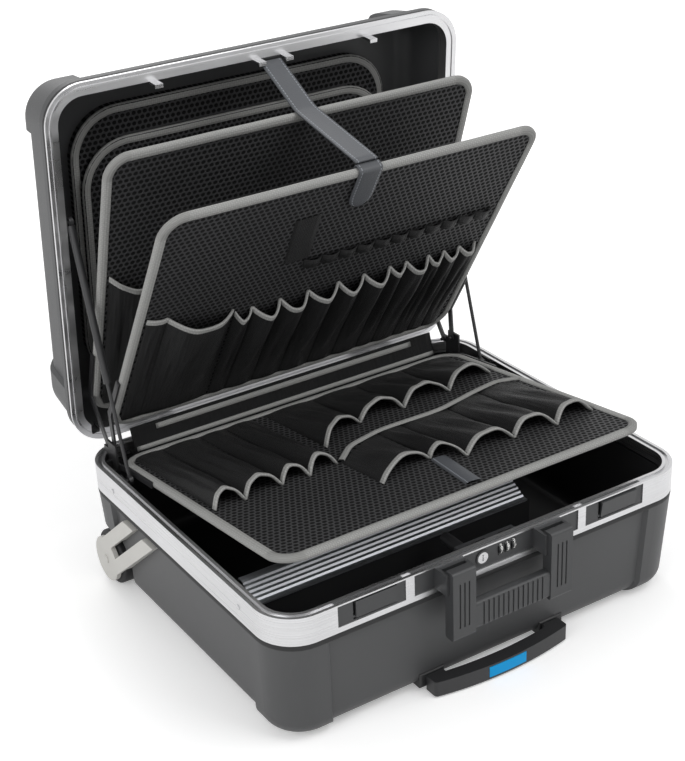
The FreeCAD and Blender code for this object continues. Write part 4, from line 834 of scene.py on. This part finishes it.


# Painted shade: dark bands that stand for the shaded gap under the aluminium frames; piece, body, matrix,
# middle above the rim and height
SHADE_BANDS = (("base_seal", "case_base", Matrix.Translation((0.0, CENTRE_Y, 0.0)), -0.0332, 0.0056),
         ("lid_seal", "lid", OPEN_LID, 0.0060, 0.0050))
SHADE_BAND_HALF_LENGTH = 0.2498
SHADE_BAND_HALF_WIDTH = 0.20355
SHADE_BAND_CORNER = 0.0418
SHADE_BAND_DEPTH = 0.0020
SHADE_BAND_EDGE = 0.0004
SHADE_BAND_GRAIN_DEPTH = 0.00012
SHADE_BAND_ROUGH = (0.60, 0.74)
SHADE_BAND_UV_SIZE = (0.008, 1.8)


class CASE_OT_shade_bands(bpy.types.Operator):
    """Painted shade: dark bands that stand for the shaded gap between the aluminium frames and the moulded
    shells
    """
    bl_idname = "case.seals"
    bl_label = "Seals"

    def execute(self, context):
        given = context.scene.case_shell
        # The bands are painted darker than the inner parts, as painted shade under the frames.
        material = moulded_material("seal_rubber", tint(given.inner_colour, 0.8), given.grain_size,
                                    SHADE_BAND_ROUGH, SHADE_BAND_GRAIN_DEPTH)
        outline = rounded_outline(SHADE_BAND_HALF_LENGTH, -SHADE_BAND_HALF_WIDTH, SHADE_BAND_HALF_WIDTH, SHADE_BAND_CORNER)
        shape = ((SHADE_BAND_DEPTH, -0.5), (SHADE_BAND_EDGE, -0.5), (0.0, -0.4), (0.0, 0.4), (SHADE_BAND_EDGE, 0.5),
                 (SHADE_BAND_DEPTH, 0.5))
        for name, body, matrix, middle, height in SHADE_BANDS:
            section = [(inward, RIM + middle + share * height) for inward, share in shape]
            cloth = Cloth()
            cloth.ring(outline, section, [0.0] * len(outline), SHADE_BAND_UV_SIZE, close=True)
            made = cloth.made(name, material, matrix)
            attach(made, body)
        return {"FINISHED"}


class CASE_OT_boards(bpy.types.Operator):
    """Embossed boards and the bindings on their edges"""
    bl_idname = "case.boards"
    bl_label = "Boards"

    def execute(self, context):
        given = context.scene.case_cloth
        tape = tape_material("binding_tape", given.tape_colour)
        for body, angle, matrix, low, high in (
                ("front_board", FRONT_ANGLE, FRONT_BOARD, 0.0, FRONT_LENGTH),
                ("middle_board", MIDDLE_ANGLE, MIDDLE_BOARD, 0.0, MIDDLE_LENGTH),
                ("base_board", BASE_ANGLE, BASE_BOARD, -FRONT_LENGTH, 0.0)):
            paint([body + "_panel"],
                  cell_material(body + "_cells", given.board_colour, given.cell_pitch, -angle))
            outline = rounded_outline(BOARD_HALF_WIDTH, low, high, BOARD_CORNER)
            board_binding(body + "_tape", body + "_binding", matrix, outline, body, tape)
        return {"FINISHED"}


# Lid pockets: node, half width, front edge and distance from the lid's inner face
LID_POCKETS = (("lid_pocket_rear", 0.196, -0.146, 0.0125), ("lid_pocket_front", 0.190, -0.113, 0.022))
LID_INNER_HEIGHT = 0.0788
LID_POCKET_BACK = 0.172
LID_POCKET_CORNER = 0.055
LID_TAPE_OVERLAP = 0.0012
LID_TAPE_RISE = 0.0020
LID_TAPE_HALF = 0.0022


class CASE_OT_lid_pockets(bpy.types.Operator):
    """The two flat pockets in the lid with their bound edges"""
    bl_idname = "case.lid_pockets"
    bl_label = "Lid pockets"

    def execute(self, context):
        given = context.scene.case_cloth
        face = cell_material("lid_pocket_cells", given.board_colour, given.cell_pitch, -LID_OPENING)
        tape = material_named("binding_tape")
        for node, half, front, distance in LID_POCKETS:
            paint([node], face)
            rise = RIM + (LID_INNER_HEIGHT - distance) + LID_TAPE_RISE
            outline = rounded_outline(half + LID_TAPE_OVERLAP, front - LID_TAPE_OVERLAP, LID_POCKET_BACK,
                                      LID_POCKET_CORNER)
            board_binding(node + "_tape", None, OPEN_LID @ Matrix.Translation((0.0, 0.0, rise)), outline,
                          "lid", tape, LID_TAPE_HALF)
        return {"FINISHED"}


# The base board's pockets, the tape between its rows and the pull tab
BASE_REAR_SEAMS = ((-0.209, 0.196), (-0.174, 0.196), (-0.129, 0.192), (-0.097, 0.194), (-0.061, 0.189),
                   (-0.046, 0.144), (0.018, 0.112), (0.076, 0.113), (0.141, 0.109), (0.207, 0.098))
BASE_FRONT_SEAMS = ((-0.057, 0.267), (0.013, 0.250), (0.044, 0.272), (0.106, 0.271), (0.158, 0.277),
                    (0.209, 0.274))
BASE_FRONT_BACKS = (0.190, 0.150, 0.150, 0.152, 0.137, 0.141)
BASE_REAR_RISE = 0.0170
BASE_FRONT_RISE = 0.0150
BASE_POWER = 2.4
LONG_TAPE = ((-0.057, -0.190), (-0.029, -0.163), (0.019, -0.150), (0.094, -0.153), (0.156, -0.137),
             (0.190, -0.131), (0.213, -0.142))
LONG_TAPE_THICKNESS = 0.0020
LONG_TAPE_RISE = 0.0026
PULL_TAB = ((0.019, -0.256), (0.014, -0.290), (0.008, -0.330))
PULL_TAB_WIDTH = 0.017
PULL_TAB_THICKNESS = 0.0026
PULL_TAB_RISE = 0.0002


class CASE_OT_base_pockets(bpy.types.Operator):
    """The two rows of pockets on the base board, the long tape and the pull tab"""
    bl_idname = "case.base_pockets"
    bl_label = "Base board pockets"

    def execute(self, context):
        given = context.scene.case_cloth
        nylon_material("pocket_nylon", given.nylon_colour)
        rear = row_of_pockets(BASE_REAR_SEAMS, [SEAM_MARGIN] * len(BASE_REAR_SEAMS), BASE_REAR_RISE,
                              BASE_POWER, sign=-1, seed=11)
        sew("base_rear_pockets", rear, "base_board_rear_pockets", "base_board", BASE_BOARD, given)
        front = row_of_pockets(BASE_FRONT_SEAMS, BASE_FRONT_BACKS, BASE_FRONT_RISE, BASE_POWER, sign=-1,
                               seed=31)
        sew("base_front_pockets", front, "base_board_front_pockets", "base_board", BASE_BOARD, given)
        line = Cloth()
        flat_tape(line, LONG_TAPE, given.tape_width, LONG_TAPE_THICKNESS, BOARD_FACE + LONG_TAPE_RISE)
        made = line.made("base_long_tape", material_named("binding_tape"), BASE_BOARD)
        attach(made, "base_board")
        tab = Cloth()
        flat_tape(tab, PULL_TAB, PULL_TAB_WIDTH, PULL_TAB_THICKNESS, BOARD_FACE + PULL_TAB_RISE)
        leather = leather_material("tab_leather", tint(given.strap_colour, 1.1), PULL_TAB_WIDTH / 2)
        made = tab.made("base_pull_tab", leather, BASE_BOARD)
        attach(made, "base_board")
        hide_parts("base_board_tab")
        return {"FINISHED"}


# The front board's tool pockets, its large pocket, loops and patch, and the middle board's pocket
TOOL_SEAMS = (-0.104, -0.083, -0.049, -0.014, 0.024, 0.057, 0.091, 0.113, 0.143, 0.164, 0.185, 0.207)
TOOL_MOUTH = 0.160
TOOL_RISE = 0.0150
TOOL_POWER = 2.0
SIDE_EDGE = (SEAM_MARGIN - BOARD_HALF_WIDTH, 0.190)
SIDE_BACKS = (SEAM_MARGIN, SEAM_MARGIN)
FOLD_SEAM = (-0.187, 0.184)
LARGE_SEAM = (-0.107, 0.165)
LARGE_FLAT_RISE = 0.0024
LARGE_FLAT_FOLD = 0.0003
LARGE_RISE = 0.0165
LARGE_FOLD = 0.0030
MIDDLE_SEAM = (-0.153, 0.165)
MIDDLE_RISE = 0.0088
LOOP_COUNT = 11
LOOP_START = -0.036
LOOP_PITCH = 0.022
LOOP_WIDTH = 0.021
LOOP_TOP = 0.220
LOOP_HEIGHT = 0.012
LOOP_RISE = 0.004
LOOP_THICKNESS = 0.0011
LOOP_UV_SIZE = (0.024, 0.012)
PATCH = ((-0.046, 0.222), (-0.050, 0.291))
PATCH_WIDTH = 0.030
PATCH_THICKNESS = 0.0012


class CASE_OT_front_pockets(bpy.types.Operator):
    """The pockets, loops and patch of the front board, and the pocket of the middle board"""
    bl_idname = "case.front_pockets"
    bl_label = "Front board pockets"

    def execute(self, context):
        given = context.scene.case_cloth
        nylon = material_named("pocket_nylon")
        seams = [(x, TOOL_MOUTH) for x in TOOL_SEAMS]
        tools = row_of_pockets(seams, [SEAM_MARGIN] * len(seams), TOOL_RISE, TOOL_POWER, sign=1, seed=51)
        sew("front_tool_pockets", tools, "front_board_tool_pockets", "front_board", FRONT_BOARD, given)
        large = [Pocket(SIDE_EDGE, FOLD_SEAM, SIDE_BACKS, LARGE_FLAT_RISE, power=2.4, sign=1, seed=70,
                        fold=LARGE_FLAT_FOLD, dip_share=0.0),
                 Pocket(FOLD_SEAM, LARGE_SEAM, SIDE_BACKS, LARGE_RISE, power=2.2, sign=1, seed=71,
                        fold=LARGE_FOLD)]
        sew("front_large_pocket", large, "front_board_large_pocket", "front_board", FRONT_BOARD, given)
        side = [Pocket(SIDE_EDGE, MIDDLE_SEAM, SIDE_BACKS, MIDDLE_RISE, power=2.6, sign=1, seed=81)]
        sew("middle_side_pocket", side, "middle_board_pocket", "middle_board", MIDDLE_BOARD, given)
        made = thicken(self.loops().made("front_tool_loops", nylon, FRONT_BOARD), LOOP_THICKNESS)
        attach(made, "front_board")
        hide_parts("front_board_loops")
        patch = Cloth()
        flat_tape(patch, PATCH, PATCH_WIDTH, PATCH_THICKNESS, BOARD_FACE)
        made = patch.made("front_board_patch", nylon, FRONT_BOARD)
        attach(made, "front_board")
        return {"FINISHED"}

    def loops(self):
        """The row of tool loops, each an arched band."""
        steps = 12
        backs = (LOOP_TOP - LOOP_HEIGHT, LOOP_TOP - LOOP_HEIGHT)
        cloth = Cloth()
        for i in range(LOOP_COUNT):
            left = LOOP_START + i * LOOP_PITCH
            bow = Pocket((left, LOOP_TOP), (left + LOOP_WIDTH, LOOP_TOP), backs, LOOP_RISE, power=2.0, sign=1,
                         seed=91 + i, fold=0.0, dip_share=0.0)

            def place(row, step, bow=bow):
                spot = bow.at(step / steps, 0.0)
                return Vector((spot.x, LOOP_TOP - LOOP_HEIGHT * row, spot.z))
            cloth.grid(2, steps + 1, place, LOOP_UV_SIZE)
        return cloth


# The strap from the lid and its tab on the front board
STRAP_CENTRE = 0.005
STRAP_HALF = 0.013
STRAP_THICKNESS = 0.0024
STRAP_LIFT = 0.0022
STRAP_BEND = 0.010
STRAP_END_RISE = 0.001
ANCHOR_GAP = 0.0026
TAB_HALF = 0.014
TAB_LIFT = 0.0013
TAB_BEHIND = 0.006
TAB_IN_FRONT = 0.052
TAB_BEND = 0.003


def on_board(matrix, along, out):
    """y and z of a point on a board's middle line."""
    place = matrix @ Vector((0.0, along, out))
    return place.y, place.z


class CASE_OT_strap(bpy.types.Operator):
    """The strap from the lid over both boards, and its tab on the front board"""
    bl_idname = "case.strap"
    bl_label = "Strap"

    def execute(self, context):
        colour = context.scene.case_cloth.strap_colour
        leather = leather_material("strap_leather", colour, STRAP_HALF)
        anchor_low, anchor_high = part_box("strap_anchor")
        start = (anchor_low.y - ANCHOR_GAP, (anchor_low.z + anchor_high.z) / 2)
        top = on_board(MIDDLE_BOARD, MIDDLE_LENGTH + STRAP_LIFT, -BINDING_HALF)
        over = on_board(MIDDLE_BOARD, MIDDLE_LENGTH + STRAP_LIFT, BINDING_HALF)
        end = on_board(FRONT_BOARD, FRONT_LENGTH + STRAP_LIFT + STRAP_END_RISE, -BINDING_HALF - STRAP_LIFT)
        path = rounded_run([start, top, over, end], STRAP_BEND)
        made = strap_piece("lid_strap", path, STRAP_HALF, STRAP_THICKNESS, STRAP_CENTRE, leather)
        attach(made, "lid")
        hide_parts("strap")
        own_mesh(made)
        reach = BINDING_HALF + TAB_LIFT
        corners = [on_board(FRONT_BOARD, FRONT_LENGTH - TAB_BEHIND, -reach),
                   on_board(FRONT_BOARD, FRONT_LENGTH + TAB_LIFT, -reach),
                   on_board(FRONT_BOARD, FRONT_LENGTH + TAB_LIFT, reach),
                   on_board(FRONT_BOARD, FRONT_LENGTH - TAB_IN_FRONT, reach)]
        path = rounded_run(corners, TAB_BEND)
        path = path[:-2] + between(path[-2], path[-1], 6) + [path[-1]]
        leather = leather_material("tab_leather_wide", tint(colour, 0.8), TAB_HALF)
        tab = strap_piece("board_strap_tab", path, TAB_HALF, STRAP_THICKNESS, STRAP_CENTRE, leather,
                          rounded=True)
        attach(tab, "front_board")
        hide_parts("strap_tab")
        return {"FINISHED"}


# The spine: corners as y and rise, and its tapes with their low and high points and half lengths
SPINE_CORNERS = ((0.19325, -0.011), (0.17875, -0.011), (0.17755, -0.008), (0.1790, 0.0), (0.1845, 0.0125),
                 (0.1865, 0.020))
SPINE_TAPES = (("spine_tape", (0.1838, 0.0115), (0.1858, 0.0172), 0.170),
               ("spine_edge_tape", (0.1772, -0.0048), (0.1785, 0.0000), 0.198))
SPINE_CENTRE = 0.001
SPINE_HALF = 0.200
SPINE_THICKNESS = 0.0020
SPINE_BEND = 0.003
SPINE_TAPE_THICKNESS = 0.0014


class CASE_OT_spine(bpy.types.Operator):
    """The cloth-covered strip that joins the boards behind the base board, and its tapes"""
    bl_idname = "case.spine"
    bl_label = "Spine"

    def execute(self, context):
        path = rounded_run([(y + CENTRE_Y, RIM + rise) for y, rise in SPINE_CORNERS], SPINE_BEND)
        made = strap_piece("board_spine", path, SPINE_HALF, SPINE_THICKNESS, SPINE_CENTRE,
                           material_named("pocket_nylon"))
        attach(made, "case_base")
        for name, low, high, reach in SPINE_TAPES:
            path = rounded_run([(y + CENTRE_Y - SPINE_TAPE_THICKNESS, RIM + rise) for y, rise in (low, high)],
                               SPINE_BEND)
            made = strap_piece(name, path, reach, SPINE_TAPE_THICKNESS, SPINE_CENTRE,
                               material_named("binding_tape"))
            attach(made, "case_base")
        return {"FINISHED"}


DIGIT_SIZE = 0.0052
DIGIT_THICKNESS = 0.00012
DIGIT_BOLDNESS = 0.00012
DIGIT_LIFT = 0.00010
DIGIT_TONES = ((0.84, 0.84, 0.82), (0.94, 0.94, 0.92))


class CASE_OT_digits(bpy.types.Operator):
    """Plain digits around the three number dials"""
    bl_idname = "case.digits"
    bl_label = "Digits"

    def execute(self, context):
        material, tree, shader = blank_material("digit_paint")
        tone = noise(tree, coordinates(tree), scale=600.0)
        tree.links.new(mix_colour(tree, tone, *DIGIT_TONES), shader.inputs["Base Color"])
        shader.inputs["Roughness"].default_value = 0.5
        stand = Matrix.Rotation(math.pi / 2, 4, "X")
        for dial in range(3):
            node = "number_dial_%d" % (dial + 1)
            low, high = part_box(node)
            centre = joint_place(node + "_turn")
            middle = Matrix.Translation(((low.x + high.x) / 2, centre.y, centre.z))
            outward = Matrix.Translation((0.0, -(high.z - low.z) / 2 - DIGIT_LIFT, 0.0))
            for digit in range(10):
                text = bpy.data.curves.new("digit", "FONT")
                text.body = str((digit + 8 * dial + 1) % 10)
                text.size = DIGIT_SIZE
                text.align_x = "CENTER"
                text.align_y = "CENTER"
                text.extrude = DIGIT_THICKNESS
                text.offset = DIGIT_BOLDNESS
                text.materials.append(material)
                made = bpy.data.objects.new("dial_%d_digit_%d" % (dial + 1, digit), text)
                context.scene.collection.objects.link(made)
                turn = Matrix.Rotation(2 * math.pi * (digit + 0.5) / 10, 4, "X")
                made.matrix_world = middle @ turn @ outward @ stand
                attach(made, node)
        return {"FINISHED"}


# The stage: lamps as place and size
WHITE = (1.0, 1.0, 1.0)
FLOOR_REACH = 6.0
FLOOR_GLOW = (0.26, 0.54)
GLOW_DISTANCES = (0.6, 1.8)
AIM = Vector((0.0, 0.0, 0.2))
KEY_LAMP = ((0.9, -1.4, 2.1), 1.6)
FILL_LAMP = ((-1.9, -0.7, 1.2), 1.4)
BACK_LAMP = ((0.3, 1.7, 1.9), 1.2)
SENSOR_WIDTH = 36.0
NEAR_CLIP = 0.05


class CASE_OT_stage(bpy.types.Operator):
    """Floor, lights, world and the camera at the photograph's view"""
    bl_idname = "case.stage"
    bl_label = "Stage"

    def execute(self, context):
        given = context.scene.case_stage
        scene = context.scene
        scene.view_settings.view_transform = "Standard"
        floor = self.floor(given.floor_colour)
        scene.collection.objects.link(floor)
        scene.world = self.world(given.world_level)
        for name, (place, size), power in (
                ("key", KEY_LAMP, given.key_power),
                ("fill", FILL_LAMP, given.fill_power),
                ("back", BACK_LAMP, given.fill_power)):
            lamp = bpy.data.lights.new(name, "AREA")
            lamp.shape = "SQUARE"
            lamp.size = size
            lamp.energy = power
            made = bpy.data.objects.new(name, lamp)
            made.location = place
            made.rotation_euler = (AIM - Vector(place)).to_track_quat("-Z", "Y").to_euler()
            scene.collection.objects.link(made)
        camera = self.camera(given)
        scene.collection.objects.link(camera)
        scene.camera = camera
        return {"FINISHED"}

    def floor(self, colour):
        """A wide floor that looks white where nothing shades it."""
        reach = FLOOR_REACH
        mesh = bpy.data.meshes.new("floor")
        mesh.from_pydata([(-reach, -reach, 0), (reach, -reach, 0), (reach, reach, 0), (-reach, reach, 0)], [],
                         [(0, 1, 2, 3)])
        material, tree, shader = blank_material("floor_paint")
        seen = seen_directly(tree)
        tree.links.new(mix_colour(tree, seen, colour, WHITE), shader.inputs["Base Color"])
        shader.inputs["Roughness"].default_value = 0.9
        shader.inputs["Specular IOR Level"].default_value = 0.0
        shader.inputs["Emission Color"].default_value = (*WHITE, 1.0)
        length = tree.nodes.new("ShaderNodeVectorMath")
        length.operation = "LENGTH"
        tree.links.new(coordinates(tree), length.inputs[0])
        glow = spread(tree, length.outputs["Value"], *FLOOR_GLOW, *GLOW_DISTANCES)
        tree.links.new(math_node(tree, "MULTIPLY", seen, glow), shader.inputs["Emission Strength"])
        mesh.materials.append(material)
        return bpy.data.objects.new("floor", mesh)

    def world(self, level):
        """White where it is seen, and at its level where it lights the case."""
        world = bpy.data.worlds.new("studio")
        world.use_nodes = True
        tree = world.node_tree
        tree.nodes.clear()
        sky = tree.nodes.new("ShaderNodeBackground")
        out = tree.nodes.new("ShaderNodeOutputWorld")
        extra = math_node(tree, "MULTIPLY", seen_directly(tree), 1.0 - level)
        tree.links.new(math_node(tree, "ADD", extra, level), sky.inputs["Strength"])
        sky.inputs["Color"].default_value = (*WHITE, 1.0)
        tree.links.new(sky.outputs[0], out.inputs["Surface"])
        return world

    def camera(self, given):
        """The photograph's view, from its turn, slope, roll and place."""
        azimuth = given.camera_azimuth
        slope = given.camera_elevation
        roll = given.camera_roll
        look = Vector((math.sin(azimuth) * math.cos(slope), math.cos(azimuth) * math.cos(slope),
                       -math.sin(slope)))
        side = Vector((math.cos(azimuth), -math.sin(azimuth), 0.0))
        above = side.cross(look)
        right = side * math.cos(roll) + above * math.sin(roll)
        up = above * math.cos(roll) - side * math.sin(roll)
        data = bpy.data.cameras.new("photo_view")
        data.lens = given.camera_lens
        data.sensor_width = SENSOR_WIDTH
        data.clip_start = NEAR_CLIP
        camera = bpy.data.objects.new("photo_view", data)
        place = Vector(given.camera_offset) + Vector((0.0, CENTRE_Y, RIM))
        camera.matrix_world = Matrix.Translation(place) @ Matrix((right, up, -look)).transposed().to_4x4()
        return camera


class CASE_PT_panel(bpy.types.Panel):
    """Lists the steps and settings of the tool case"""
    bl_idname = "CASE_PT_panel"
    bl_label = "Tool case"
    bl_space_type = "VIEW_3D"
    bl_region_type = "UI"
    bl_category = "Tool case"

    def draw(self, context):
        layout = self.layout
        for step in STEPS:
            layout.operator(step.bl_idname)
        for group in (context.scene.case_shell, context.scene.case_cloth, context.scene.case_stage):
            column = layout.column()
            for key in group.__annotations__:
                column.prop(group, key)


STEPS = (CASE_OT_finishes, CASE_OT_shade_bands, CASE_OT_boards, CASE_OT_lid_pockets, CASE_OT_base_pockets,
         CASE_OT_front_pockets, CASE_OT_strap, CASE_OT_spine, CASE_OT_digits, CASE_OT_stage)
CLASSES = (ShellSettings, ClothSettings, StageSettings) + STEPS + (CASE_PT_panel,)


def register():
    for each in CLASSES:
        bpy.utils.register_class(each)
    bpy.types.Scene.case_shell = bpy.props.PointerProperty(type=ShellSettings)
    bpy.types.Scene.case_cloth = bpy.props.PointerProperty(type=ClothSettings)
    bpy.types.Scene.case_stage = bpy.props.PointerProperty(type=StageSettings)


def unregister():
    del bpy.types.Scene.case_stage
    del bpy.types.Scene.case_cloth
    del bpy.types.Scene.case_shell
    for each in reversed(CLASSES):
        bpy.utils.unregister_class(each)


def main():
    register()
    for step in STEPS:
        group, action = step.bl_idname.split(".")
        getattr(getattr(bpy.ops, group), action)()


if __name__ == "__main__":
    main()
